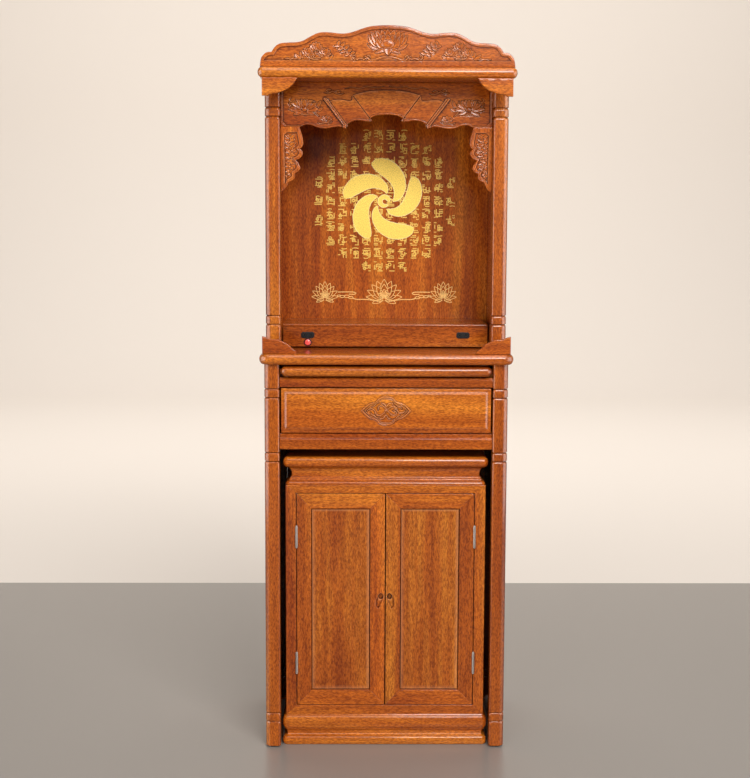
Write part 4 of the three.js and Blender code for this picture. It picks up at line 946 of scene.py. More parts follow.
PULL_BOTTOM, SCOOP_DEPTH, BORE_DEPTH, BORE_RADIUS, BORE_FROM_EDGE = 383.0, 5.5, 14.0, 7.0, 10.5
PANEL_MARGIN, PANEL_MARGIN_CUT = 2.0, 2.0
pull_outline = [(16, 0), (21, 3), (24.5, 10), (24.5, 20), (22, 30), (18, 39), (12.5, 44.5), (6.5, 43.5),
                (2.8, 38), (2.6, 30), (5.5, 21), (9, 13), (12, 5)]
members = ("inner_stile", "hinge_stile", "top_rail", "bottom_rail")
for side, factor in (("right", 1), ("left", -1)):
    boxes = {member: box_mm(f"door_{member}_{side}") for member in members}
    xs = sorted(abs(value) for value in (boxes["inner_stile"][0].x, boxes["inner_stile"][1].x,
                                         boxes["hinge_stile"][0].x, boxes["hinge_stile"][1].x))
    free, inner_free, inner_hinge, hinge_edge = xs
    z0, z1 = boxes["inner_stile"][0].z, boxes["inner_stile"][1].z
    rail_top, rail_bottom = boxes["top_rail"][0].z, boxes["bottom_rail"][1].z
    front, back = boxes["inner_stile"][0].y, boxes["inner_stile"][1].y
    outlines = {
        "inner_stile": [(free, z0), (inner_free, rail_bottom), (inner_free, rail_top), (free, z1)],
        "hinge_stile": [(inner_hinge, rail_bottom), (hinge_edge, z0), (hinge_edge, z1),
                        (inner_hinge, rail_top)],
        "top_rail": [(inner_free, rail_top), (inner_hinge, rail_top), (hinge_edge, z1), (free, z1)],
        "bottom_rail": [(free, z0), (hinge_edge, z0), (inner_hinge, rail_bottom), (inner_free, rail_bottom)]}
    tones = {"inner_stile": 1.12 if side == "left" else 0.86, "hinge_stile": 0.92, "top_rail": 1.0,
             "bottom_rail": 1.05}
    for member, outline in outlines.items():
        if factor < 0:
            outline = mirror_line(outline)
        along = "Z" if "stile" in member else "X"
        wood = lacquered_wood(f"wood_door_{member}_{side}", along, tones[member],
                              (tones[member], factor * 0.3, 0.2))
        board = Carving(outline, back - front, step=0.6 if member == "inner_stile" else 5, spacing=4,
                        arris=1.3)
        if member == "inner_stile":
            thickness = back - front
            pull = np.array(pull_outline) * (factor, 1) + (factor * free, PULL_BOTTOM)
            scoop = smooth_line(closed(pull), 1.5)[:-1]
            scoop = scoop if factor > 0 else scoop[::-1]
            board.area(scoop, thickness - SCOOP_DEPTH, 3.2)
            bore_x, bore_z = factor * (free + BORE_FROM_EDGE), PULL_BOTTOM + 34
            turn = [2 * math.pi * i / 28 for i in range(28)]
            bore = [(bore_x + BORE_RADIUS * math.cos(a),
                     bore_z + 1.25 * BORE_RADIUS * math.sin(a)) for a in turn]
            board.area(bore, thickness - BORE_DEPTH, 0.5)
        board.finish(f"door_{side}_{member}", back, wood, f"door_{side}", [f"door_{member}_{side}"],
                     "lacquered_wood")
    low, high = box_mm(f"door_panel_{side}")
    thickness = high.y - low.y
    panel = Carving([(low.x, low.z), (high.x, low.z), (high.x, high.z), (low.x, high.z)],
                    thickness - PANEL_MARGIN_CUT, step=1.5, spacing=6, arris=0.4)
    left, right = sorted((factor * (inner_free + PANEL_MARGIN), factor * (inner_hinge - PANEL_MARGIN)))
    panel.area([(left, rail_bottom + PANEL_MARGIN), (right, rail_bottom + PANEL_MARGIN),
                (right, rail_top - PANEL_MARGIN), (left, rail_top - PANEL_MARGIN)], thickness, 0.8)
    wood = lacquered_wood(f"wood_door_panel_{side}", "Z", 0.8, (0.2, factor * 0.7, 0.1), 0.1, 1.4)
    panel.finish(f"door_{side}_panel", high.y, wood, f"door_{side}", [f"door_panel_{side}"], "panel_veneer")

# ---------------------------------------------------------------- hinges
# Steel butt hinges let into the doors' outer edges: three knuckles on a pin with button ends, and a leaf.

hinge_steel = bpy.data.materials.new("hinge_steel")
hinge_steel.use_nodes = True
steel_nodes, steel_links = hinge_steel.node_tree.nodes, hinge_steel.node_tree.links
steel = steel_nodes["Principled BSDF"]
steel.inputs["Metallic"].default_value = 1
steel_place = steel_nodes.new("ShaderNodeTexCoord")
brushing = steel_nodes.new("ShaderNodeTexNoise")
brushing.inputs["Scale"].default_value = 900
steel_links.new(steel_place.outputs["Object"], brushing.inputs["Vector"])
steel_tint = steel_nodes.new("ShaderNodeValToRGB")
steel_tint.color_ramp.elements[0].color = (0.3, 0.29, 0.27, 1)
steel_tint.color_ramp.elements[1].color = (0.6, 0.58, 0.54, 1)
steel_links.new(brushing.outputs["Fac"], steel_tint.inputs["Fac"])
steel_links.new(steel_tint.outputs["Color"], steel.inputs["Base Color"])
steel.inputs["Roughness"].default_value = 0.36

HINGE_RADIUS = 3.5
for side, factor in (("right", 1), ("left", -1)):
    for level in ("lower", "upper"):
        node = f"hinge_{level}_{side}"
        low, high = box_mm(node)
        centre_x, centre_y = (low.x + high.x) / 2, low.y + HINGE_RADIUS + 0.1
        length = high.z - low.z
        knuckle = (length - 5) / 3
        profile = [(0.3, 0), (2.3, 0.5), (2.6, 1.6), (2.3, 2.2)]
        for k in range(3):
            start = 2.5 + k * knuckle
            profile += [(2.4, start), (HINGE_RADIUS - 0.3, start), (HINGE_RADIUS, start + 0.4),
                        (HINGE_RADIUS, start + knuckle - 0.7), (HINGE_RADIUS - 0.3, start + knuckle - 0.35),
                        (2.4, start + knuckle - 0.35)]
        profile += [(2.3, length - 2.2), (2.6, length - 1.6), (2.3, length - 0.5), (0.3, length)]
        barrel, barrel_faces = turned((centre_x, centre_y, low.z), profile, 24)
        leaf_corners = [(centre_x - 0.45, centre_y + 2.6), (centre_x + 0.45, centre_y + 2.6),
                        (centre_x + 0.45, high.y), (centre_x - 0.45, high.y)]
        leaf, leaf_faces = stack([[(x, y, z) for x, y in leaf_corners] for z in (low.z + 3, high.z - 3)])
        faces = barrel_faces + [tuple(index + len(barrel) for index in face) for face in leaf_faces]
        keep(f"butt_{node}", barrel + leaf, faces, hinge_steel, "altar_frame", [node])

# ---------------------------------------------------------------- shrine back
# A veneered board with its grain upright. On it in gold leaf: rows of small marks made of short strokes, a
# large emblem of broad brush strokes that covers some of them, and three lotus flowers with cloud lines.

low, high = box_mm("upper_back")
plain_board("shrine_back_board", "upper_back",
            lacquered_wood("wood_shrine_back", "Z", 0.92, (0.15, 0.7, 0), 0.15, bands=1.6), "altar_frame",
            0.3)


def gold_leaf(name, colour):
    """Thin gold leaf with a fine grain."""
    material = plain_finish(name, colour, 0.4)
    nodes, links = material.node_tree.nodes, material.node_tree.links
    shader = nodes["Principled BSDF"]
    shader.inputs["Metallic"].default_value = 0.25
    place = nodes.new("ShaderNodeTexCoord")
    grit = nodes.new("ShaderNodeTexNoise")
    grit.inputs["Scale"].default_value = 420
    grit.inputs["Detail"].default_value = 4
    links.new(place.outputs["Object"], grit.inputs["Vector"])
    tint = nodes.new("ShaderNodeValToRGB")
    tint.color_ramp.elements[0].position, tint.color_ramp.elements[0].color = 0.35, from_linear(colour, 0.66)
    tint.color_ramp.elements[1].position, tint.color_ramp.elements[1].color = 0.62, from_linear(colour, 1.12)
    links.new(grit.outputs["Fac"], tint.inputs["Fac"])
    links.new(tint.outputs["Color"], shader.inputs["Base Color"])
    return material


def ribbon(line, half_widths, back, front):
    """A flat stroke with its own half width at each point of a line."""
    line = np.asarray(line, float)
    course = np.gradient(line, axis=0)
    course /= np.maximum(np.linalg.norm(course, axis=1), 1e-9)[:, None]
    halves = np.broadcast_to(half_widths, len(line))[:, None]
    across = np.stack([-course[:, 1], course[:, 0]], axis=1) * halves
    return stack([[(rx, front, rz), (rx, back, rz), (lx, back, lz), (lx, front, lz)]
                  for (rx, rz), (lx, lz) in zip(line - across, line + across)])


def leafed(name, strokes, material, back, front):
    """One piece of gold leaf from many strokes, each a line and its half widths."""
    vertices, faces = [], []
    for number, (line, half_widths) in enumerate(strokes):
        stroke, stroke_faces = ribbon(line, half_widths, back, front - number % 30 * 0.006)
        faces += [tuple(index + len(vertices) for index in face) for face in stroke_faces]
        vertices += stroke
    return keep(name, vertices, faces, material, "altar_frame", ["upper_back"], sharp=30)


# small marks: bars, posts, bows and rings set at random in the cells of a rounded field
MARK_PITCH_X, MARK_PITCH_Z, MARK_TOP = 35.1, 37.9, 1688.2
MARK_HALF, MARK_STROKE = 13, 1.35
chance = random.Random(23)
cells = [(column, row) for row in range(11) for column in range(1, 11)
         if (4 <= column <= 7) or (3 <= column <= 8 and 1 <= row <= 9) or (2 <= column <= 9 and 1 <= row <= 9)
         or 2 <= row <= 8]
places = [((column - 5.5) * MARK_PITCH_X, MARK_TOP - row * MARK_PITCH_Z) for column, row in cells]
places += [(side * 5.5 * MARK_PITCH_X, z) for side in (-1, 1) for z in (1552.5, 1497.8, 1442.4)]
strokes = []
for x, z in places:
    split = chance.choice((-4, 0, 4, None))
    for row in chance.sample(range(7), 5):
        height = z + (row - 3) * 4.6
        left, right = sorted((chance.uniform(-MARK_HALF, -3), chance.uniform(3, MARK_HALF)))
        if split is not None and chance.random() < 0.6:
            left, right = (-MARK_HALF, split - 1.4) if chance.random() < 0.5 else (split + 1.4, MARK_HALF)
        rise = chance.choice((0, 0, 1.6, -1.6))
        bow = [(x + left, height), (x + (left + right) / 2, height + rise), (x + right, height)]
        strokes.append((smooth_line(bow, 3), MARK_STROKE))
    for column in chance.sample((-10.5, -6, -1.5, 3, 7.5, 11), 3):
        foot, length = chance.uniform(-14, 2), chance.uniform(8, 18)
        strokes.append(([(x + column, z + foot), (x + column, min(z + foot + length, z + 15))], MARK_STROKE))
    ring_x, ring_z, radius = x + chance.uniform(-6, 6), z + chance.uniform(-8, 8), chance.uniform(3.2, 4.6)
    ring = [(ring_x + radius * math.cos(math.pi * i / 5), ring_z + radius * math.sin(math.pi * i / 5))
            for i in range(11)]
    strokes.append((ring, MARK_STROKE))
face_y = low.y
leafed("gold_marks", strokes, gold_leaf("gold_marks", (0.85, 0.56, 0.11)), face_y + 0.1, face_y - 0.15)

# the emblem: five broad brush strokes that whirl out from a small ring, each a little different
EMBLEM_Z, EMBLEM_ARMS, EMBLEM_INNER, RING_RADIUS = 1498, 5, 24, 13
brush_strokes = []
for k in range(EMBLEM_ARMS):
    start, sweep = 2 * math.pi * k / EMBLEM_ARMS + chance.uniform(-0.08, 0.08), chance.uniform(1.75, 2.1)
    outer_radius, fullness = chance.uniform(106, 117), chance.uniform(0.92, 1.08)
    points = []
    for i in range(13):
        angle, radius = start + sweep * i / 12, EMBLEM_INNER + (outer_radius - EMBLEM_INNER) * i / 12
        points.append((radius * math.cos(angle), EMBLEM_Z + radius * math.sin(angle)))
    brush_strokes.append((points, [width * fullness for width in (4, 11, 17, 21, 23.5, 23, 18, 8)]))
ring = [(RING_RADIUS * math.cos(math.pi * i / 8), EMBLEM_Z + RING_RADIUS * math.sin(math.pi * i / 8))
        for i in range(15)]
brush_strokes.append((ring, (5, 6, 6, 5.5, 3)))
broad, edged = [], []
for points, widths in brush_strokes:
    line = smooth_line(points, 3)
    shares = np.linspace(0, 1, len(line))
    half = np.interp(shares, np.linspace(0, 1, len(widths)), widths)
    half = half * np.clip(np.sqrt(np.minimum(shares, 1 - shares) / 0.06), 0.25, 1)
    half += np.array([chance.uniform(-0.35, 0.35) for _ in line])
    broad.append((line, half))
    edged.append((line, half + 1.5))
leafed("gold_emblem_edge", edged, gold_leaf("gold_edge", (1.0, 0.84, 0.4)), face_y + 0.1, face_y - 0.3)
leafed("gold_emblem", broad, gold_leaf("gold_emblem", (1.0, 0.72, 0.13)), face_y + 0.1, face_y - 0.45)

# lotus flowers drawn in line, with cloud lines between them
def petal_shape(foot, tip, width):
    """The outline of a pointed petal, anticlockwise."""
    foot, tip = np.asarray(foot, float), np.asarray(tip, float)
    shares = np.linspace(0, 1, 12)
    half = width / 2 * np.sin(math.pi * shares ** 0.7) ** 0.8
    course = (tip - foot) / np.linalg.norm(tip - foot)
    side = np.array([-course[1], course[0]])
    middle = foot + (tip - foot) * shares[:, None]
    return np.vstack([middle - side * half[:, None], (middle + side * half[:, None])[::-1][1:-1]])


def line_drawing(shapes, half_width):
    """The outlines of overlapping shapes, listed from back to front, where nothing covers them."""
    drawn = []
    for number, shape in enumerate(shapes):
        dense = closed(even_steps(shape, 1.2))
        covered = np.zeros(len(dense), bool)
        for other in shapes[number + 1:]:
            covered |= inside(other, dense[:, 0], dense[:, 1])
        run = []
        for point, hidden in zip(dense, covered):
            if not hidden:
                run.append(point)
            if (hidden or point is dense[-1]) and len(run) > 2:
                drawn.append((np.array(run), half_width))
            if hidden:
                run = []
        if len(run) > 2:
            drawn.append((np.array(run), half_width))
    return drawn


def gold_lotus(x, z, half_width, height):
    """Back to front: the wide outer petals, the upright ones, the cup, and two leaves below."""
    def petals(layout, foot_share):
        shapes = []
        for degrees, reach_share, width in layout:
            c, s = math.cos(math.radians(degrees)), math.sin(math.radians(degrees))
            for side in ((1,) if degrees == 90 else (1, -1)):
                tip = (x + side * half_width * reach_share * c, z + height * reach_share * s)
                foot = (x + side * half_width * foot_share * c, z + height * foot_share * s)
                shapes.append(petal_shape(foot, tip, width * half_width))
        return shapes
    shapes = petals([(-22, 0.7, 0.26), (4, 1.0, 0.3), (24, 1.02, 0.36), (46, 0.98, 0.4), (66, 0.98, 0.42),
                     (90, 1.0, 0.46)], 0.1)
    shapes += petals([(10, 0.66, 0.26), (32, 0.7, 0.32), (56, 0.72, 0.34), (90, 0.74, 0.4)], 0.1)
    shapes += petals([(40, 0.42, 0.22), (66, 0.46, 0.26), (90, 0.48, 0.28)], 0.02)
    drawn = line_drawing(shapes, 0.85)
    for degrees in (42, 54, 66, 78, 90, 102, 114, 126, 138):
        c, s = math.cos(math.radians(degrees)), math.sin(math.radians(degrees))
        drawn.append(([(x + half_width * 0.1 * c, z + height * 0.08 * s),
                       (x + half_width * 0.36 * c, z + height * 0.36 * s)], 0.8))
    for side in (1, -1):
        drawn.append((smooth_line([(x + side * 2, z - 7), (x + side * half_width * 0.35, z - 9),
                                   (x + side * half_width * 0.62, z - 4)], 2), 1.0))
    return drawn


flowers = gold_lotus(0, 1215, 53, 56) + gold_lotus(-174, 1216, 39, 48) + gold_lotus(174, 1216, 39, 48)
for side in (1, -1):
    flip = (side, 1)
    flowers.append((smooth_line(np.array([(136, 1233), (110, 1233.5), (90, 1233), (83, 1230), (88, 1226.5),
                                          (104, 1227)]) * flip, 2), 1.2))
    stem = np.array([(20, 1207), (52, 1211.5), (78, 1211.5), (92, 1214.5)]) * flip
    flowers.append((smooth_line(stem, 2), 1.2))
    for cloud_x, cloud_z, radius in ((98, 1217, 7), (110, 1220.5, 8), (123, 1220, 7), (133, 1222, 5)):
        turn = [math.pi * i / 7 for i in range(15)]
        flowers.append(([(side * (cloud_x + radius * math.cos(a)), cloud_z + radius * 0.45 * math.sin(a))
                         for a in turn], 0.9))
leafed("gold_lotus_flowers", flowers, gold_leaf("gold_flowers", (0.95, 0.6, 0.2)), face_y + 0.1,
       face_y - 0.15)

# ---------------------------------------------------------------- ledge
# A shallow step along the shrine's back, polished on top, whose board ends in a thin rounded nose over the
# face; a narrow gap is left under the face for the lamp leads.

low, high = box_mm("step_ledge")
LEDGE_FACE_FROM_NOSE, LEDGE_BOARD, FACE_THICKNESS, NOSE_HEIGHT = 2, 12, 15, 6.6
face_y = low.y + LEDGE_FACE_FROM_NOSE
nose_z = high.z - NOSE_HEIGHT / 2
nose = [(nose_z - NOSE_HEIGHT / 2 * math.cos(a), low.y + 2.2 * (1 - math.sin(a)))
        for a in (math.pi * i / 10 for i in range(11))]
ledge_section = [(face_y, low.z + 0.8), (face_y + 0.8, low.z), (face_y + FACE_THICKNESS, low.z),
                 (face_y + FACE_THICKNESS, high.z - LEDGE_BOARD), (high.y, high.z - LEDGE_BOARD),
                 (high.y, high.z), *[(y, z) for z, y in nose[::-1]]]
vertices, faces = stack([[(x, y, z) for y, z in ledge_section] for x in (low.x, high.x)])
keep("shrine_ledge", vertices, faces, lacquered_wood("wood_ledge", "X", 0.85, (0.9, 0.5, 0.2), gloss=0.32),
     "altar_frame", ["step_ledge"], sharp=50)

# ---------------------------------------------------------------- lamp sockets and push button
# Two black plastic two-hole lamp sockets with cut corners, and a round push button with a domed red cap in
# a dark collar; the button slides in its collar.

socket_plastic = moulded_plastic("socket_plastic", (0.008, 0.008, 0.009), 0.5)
socket_plastic.node_tree.nodes["Principled BSDF"].inputs["Specular IOR Level"].default_value = 0.25
for side, factor in (("right", 1), ("left", -1)):
    low, high = box_mm(f"socket_plate_{side}")
    x, z = (low.x + high.x) / 2, (low.z + high.z) / 2
    sx, sz, cut = (high.x - low.x) / 2, (high.z - low.z) / 2, 4
    outline = [(x - sx + cut, z - sz), (x + sx - cut, z - sz), (x + sx, z - sz + cut), (x + sx, z + sz - cut),
               (x + sx - cut, z + sz), (x - sx + cut, z + sz), (x - sx, z + sz - cut), (x - sx, z - sz + cut)]
    plate = Carving(outline, high.y - low.y, step=1.2, spacing=2, arris=0.8)
    for hole_x in (x - 9, x + 9):
        turn = [2 * math.pi * i / 24 for i in range(24)]
        plate.area([(hole_x + 3 * math.cos(a), z + 3 * math.sin(a)) for a in turn], 0.3, 0.4)
    plate.finish(f"lamp_socket_{side}", high.y, socket_plastic, "altar_frame", [f"socket_plate_{side}"],
                 "black_plastic", sharp=40)


def faced(profile, centre, sides=40):
    """A solid turned about an axis that faces front; the profile is (radius, distance from the back)."""
    x, y, z = centre
    angles = [2 * math.pi * i / sides for i in range(sides)]
    return stack([[(x + radius * math.cos(a), y - out, z + radius * math.sin(a)) for a in angles]
                  for radius, out in profile])


low, high = box_mm("button_bezel")
centre = ((low.x + high.x) / 2, high.y, (low.z + high.z) / 2)
bezel_radius, bezel_height = (high.x - low.x) / 2, high.y - low.y
bore = 8.8
profile = [(bore, 0), (bezel_radius, 0), (bezel_radius, bezel_height - 1.4),
           (bezel_radius - 0.5, bezel_height - 0.5), (bezel_radius - 1.2, bezel_height),
           (bore + 0.4, bezel_height), (bore, bezel_height - 0.3)]
vertices, faces = faced(profile, centre)
faces = faces[:-2]
count, last = 40, 6 * 40
faces += [(last + i, last + (i + 1) % count, (i + 1) % count, i) for i in range(count)]
keep("button_collar", vertices, faces, moulded_plastic("collar_plastic", (0.06, 0.01, 0.012), 0.25),
     "altar_frame", ["button_bezel"], sharp=40)

low, high = box_mm("button_cap")
cap_radius, cap_height = (high.x - low.x) / 2, high.y - low.y
centre = ((low.x + high.x) / 2, high.y, (low.z + high.z) / 2)
cap_profile = [(cap_radius, 0), (cap_radius, cap_height - 2.4)]
cap_profile += [(cap_radius * math.cos(a) if a < 1.5 else 0.2, cap_height - 2.4 + 2.4 * math.sin(a))
                for a in (math.pi / 2 * i / 8 for i in range(1, 9))]
vertices, faces = faced(cap_profile, centre)
# a faint emission is a painted glow that brightens the red cap
red_lens = moulded_plastic("red_lens", (0.75, 0.09, 0.08), 0.22, coat=0.8)
red_lens.node_tree.nodes["Principled BSDF"].inputs["Emission Color"].default_value = (1, 0.12, 0.12, 1)
red_lens.node_tree.nodes["Principled BSDF"].inputs["Emission Strength"].default_value = 0.16
keep("button_red_cap", vertices, faces, red_lens, "push_button", ["button_cap"], sharp=45)

# ---------------------------------------------------------------- roof slab and brackets
# A slab like the altar table, with a shaped bracket under each front corner.

nosed_slab("roof", "roof_slab", 16, lacquered_wood("wood_roof", "X", 1.0, (0.3, 0.8, 0.5)), "altar_frame")
for side, factor in (("right", 1), ("left", -1)):
    low, high = box_mm(f"roof_bracket_{side}")
    inner, outer = (low.x, high.x) if factor > 0 else (-high.x, -low.x)
    top, bottom = high.z, low.z
    curve = smooth_line([(inner, top), (inner + 5, top - 4), (inner + 13.5, top - 17), (inner + 21, top - 24),
                         (inner + 31.5, top - 31), (inner + 43, top - 35.5), (inner + 56, top - 40),
                         (inner + 71, top - 42), (inner + 81, bottom)])
    outline = [*curve.tolist(), (outer, bottom), (outer, top)]
    if factor < 0:
        outline = mirror_line(outline)
    bracket = Carving(outline, high.y - low.y, step=4, spacing=2, arris=2.2)
    wood = lacquered_wood(f"wood_bracket_{side}", "X", 1.0, (0, inner * 0.01, 0))
    bracket.finish(f"bracket_{side}", high.y, wood, "altar_frame", [f"roof_bracket_{side}"], "lacquered_wood")

# ---------------------------------------------------------------- valance
# A shaped board under the roof that looks like draped cloth: panels at slightly different levels, a folded
# strip on each side, a fine line along its lower edge, and a carved lotus, a small flower and a cloud.

valance_high = box_mm("valance")[1]
VALANCE_GROUND, VALANCE_FIELD, VALANCE_MIDDLE, VALANCE_FOLD = 12, 15, 17, 18
JOINT_GAP = 0.3
drop_joint = box_mm("valance_drop_right")[1].z + JOINT_GAP
edge_runs = [
    [(0, 1726.6), (15, 1726.3), (29, 1724.2), (38, 1720.5), (44.5, 1716)],
    [(44.5, 1716), (39.5, 1712), (41, 1709), (47, 1707.5)],
    [(47, 1707.5), (60, 1709.5), (75, 1711.5), (92, 1709), (105, 1702)],
    [(105, 1702), (106.5, 1693), (111, 1689.5), (117, 1691)],
    [(117, 1691), (130, 1695), (155, 1691.3), (172, 1689.6), (188, 1692.5), (203, 1698), (218, 1699.4),
     (233, drop_joint)]]


def joined_runs(runs, spacing=1.5):
    """One line through several smooth runs that meet at corners."""
    lines = [smooth_line(run, spacing) for run in runs]
    return np.vstack([lines[0]] + [line[1:] for line in lines[1:]])


def both_sides(half):
    """A symmetric line from its right half, which starts in the middle; from left to right."""
    half = np.asarray(half, float)
    return np.vstack([(half[::-1] * (-1, 1))[:-1], half])


lower_edge = joined_runs(edge_runs)
end_x, top_z = valance_high.x, valance_high.z
valance = Carving([*both_sides(lower_edge), (end_x, drop_joint), (end_x, top_z), (-end_x, top_z),
                   (-end_x, drop_joint)], VALANCE_GROUND, step=0.65, arris=1.2)
arch = smooth_line([(92.5, 1778.5), (70, 1785), (47, 1790), (22, 1791.7), (0, 1792)], 2)
below = 1670
middle_panel = np.vstack([[(-45.8, below), (45.8, below), (45.8, 1717)], arch,
                          (arch[::-1] * (-1, 1))[1:], [(-45.8, 1717)]])
second_top = smooth_line([(153.5, 1761), (143, 1766), (121.5, 1766.5), (97, 1764), (92, 1778)], 2)
second_panel = np.vstack([[(40, below), (112, below), (107.5, 1700)], second_top, [(46, 1717.4)]])
fold_strip = np.array([(112, below), (121, below), (119, 1698.5), (172.5, 1768), (167, 1771.5), (159, 1768.7),
                       (107.5, 1700.5)])
side_frame = np.array([(end_x + 9, below), (end_x + 9, top_z + 9), (279.5, top_z + 9), (279.5, 1708.5),
                       (268.5, 1697.5), (228, 1697.5), (222, below)])


def on_both_sides(polygon):
    """A polygon and its mirror image, both anticlockwise."""
    polygon = np.asarray(polygon, float)
    return [polygon, polygon[::-1] * (-1, 1)]


for polygon in on_both_sides(side_frame):
    valance.area(polygon, VALANCE_FIELD, 1.6)
for polygon in on_both_sides(second_panel):
    valance.area(polygon, VALANCE_FIELD, 1.2)
valance.area(middle_panel, VALANCE_MIDDLE, 1.4)
for polygon in on_both_sides(fold_strip):
    valance.area(polygon, VALANCE_FOLD, 1.2)
for factor in (1, -1):
    flip = (factor, 1)
    valance.groove(np.array([(113.2, 1699), (166, 1769.5)]) * flip, 2.6, 1.4)
    valance.groove(np.array([(283, top_z), (283, 1707), (270, 1694)]) * flip, 1.6, 0.6)
inner_line = inset_points(np.vstack([lower_edge, [(233, top_z), (0, top_z)]]), 4.6)[1:-4]
for line in (inner_line, inner_line * (-1, 1)):
    valance.groove(line, 1.5, 0.8)

for factor in (1, -1):
    flip = (factor, 1)

    def leaf(foot, tip, width, height=3.6, ground=VALANCE_GROUND, **shape):
        """A petal on this half of the valance."""
        valance.petal(np.array(foot) * flip, np.array(tip) * flip, width, height, ground, **shape)

    def vine(points, width, height, ground=VALANCE_GROUND, taper=0.35):
        """A stem or scroll on this half of the valance."""
        valance.ridge(smooth_line(np.array(points) * flip, 1.2), width, height, ground, taper)

    # lotus leaves and stems beside the drop
    vine([(264, 1757), (258, 1747), (249, 1736), (238, 1729), (224, 1726.5), (206, 1727)], 3.6, 2.4)
    vine([(196, 1764), (193, 1752), (195, 1741), (191, 1730), (182, 1722)], 3.8, 2.6)
    vine([(246, 1766), (252, 1760), (259, 1761), (262, 1766), (258, 1770)], 3.2, 2.2)
    for degrees, foot, length, width in ((-28, 8, 34, 13), (208, 8, 30, 12), (2, 9, 44, 15), (178, 9, 38, 14),
                                         (28, 8, 40, 16), (152, 8, 37, 15), (54, 8, 34, 15), (126, 8, 34, 15),
                                         (74, 7, 31, 14), (106, 7, 31, 14), (90, 6, 30, 14)):
        c, s = math.cos(math.radians(degrees)), math.sin(math.radians(degrees))
        leaf((222 + foot * c, 1740 + foot * s), (222 + length * c, 1740 + length * s * 0.92), width)
    valance.dome((222 * factor, 1741), 7.5, 6.5, 3.8, VALANCE_GROUND)
    leaf((186, 1746), (178, 1764), 9, 3)
    leaf((186, 1736), (172, 1744), 8, 2.8)
    # small flower on the fold of the cloth
    for degrees in (-60, 240, 5, 175, 45, 135, 90):
        c, s = math.cos(math.radians(degrees)), math.sin(math.radians(degrees))
        leaf((163 + 2 * c, 1713 + 2 * s), (163 + 16 * c, 1713 + 11.5 * s), 7.5, 2.8)
    vine([(147, 1708), (155, 1704), (166, 1705), (178, 1702), (186, 1706)], 2.8, 2.0)
    # cloud above the fold
    vine([(116, 1783), (126, 1780), (136, 1783), (146, 1788), (156, 1784), (168, 1785)], 3.6, 2.4)
    vine([(124, 1788), (131, 1791), (137, 1788), (134, 1784)], 3.0, 2.2)
    vine([(150, 1792), (157, 1794), (162, 1790), (157, 1787)], 3.0, 2.2)
    # line vine over the middle panel
    vine([(8, 1802), (30, 1799), (52, 1801), (74, 1796), (96, 1799), (112, 1795)], 2.2, 1.4)
valance.finish("carved_valance", valance_high.y, lacquered_wood("wood_valance", "X", 0.92, (0.5, 0.2, 0.2)),
               "altar_frame", ["valance"], "lacquered_wood")

# ---------------------------------------------------------------- valance drops
# Two narrow scalloped boards that hang from the valance along the posts: a smooth strip beside the post, a
# raised lobed edge, and a leafy vine carved in the sunken field between them.

DROP_GROUND, DROP_RIM = 12.5, 15
drop_runs = [
    [(235.5, drop_joint - JOINT_GAP), (232, 1681), (225.5, 1656), (227.5, 1642), (234.5, 1635)],
    [(234.5, 1635), (228, 1629), (226.5, 1622), (231, 1614), (234.5, 1609.5), (246, 1604.5)],
    [(246, 1604.5), (237, 1593), (234, 1583), (240.5, 1573), (250, 1568.5)],
    [(250, 1568.5), (249, 1556.5), (255.5, 1550), (266, 1546)],
    [(266, 1546), (270, 1535.5), (277, 1525), (end_x, 1519.5)]]
scallops = joined_runs(drop_runs)
drop_outline = np.vstack([scallops, [(end_x, drop_joint - JOINT_GAP)]])
lobe_runs = [
    [(241.5, 1679), (239, 1665), (236.5, 1652), (238, 1644), (244, 1637)],
    [(244, 1637), (238, 1629), (237, 1622), (242, 1615), (252, 1609)],
    [(252, 1609), (246, 1598), (243, 1587), (248, 1578), (257, 1573)],
    [(257, 1573), (256, 1562), (262, 1556), (270, 1551)],
    [(270, 1551), (272, 1545), (275.5, 1540)]]
drop_field = np.vstack([joined_runs(lobe_runs, 1.5), [(277, 1671.5), (270, 1679)]])
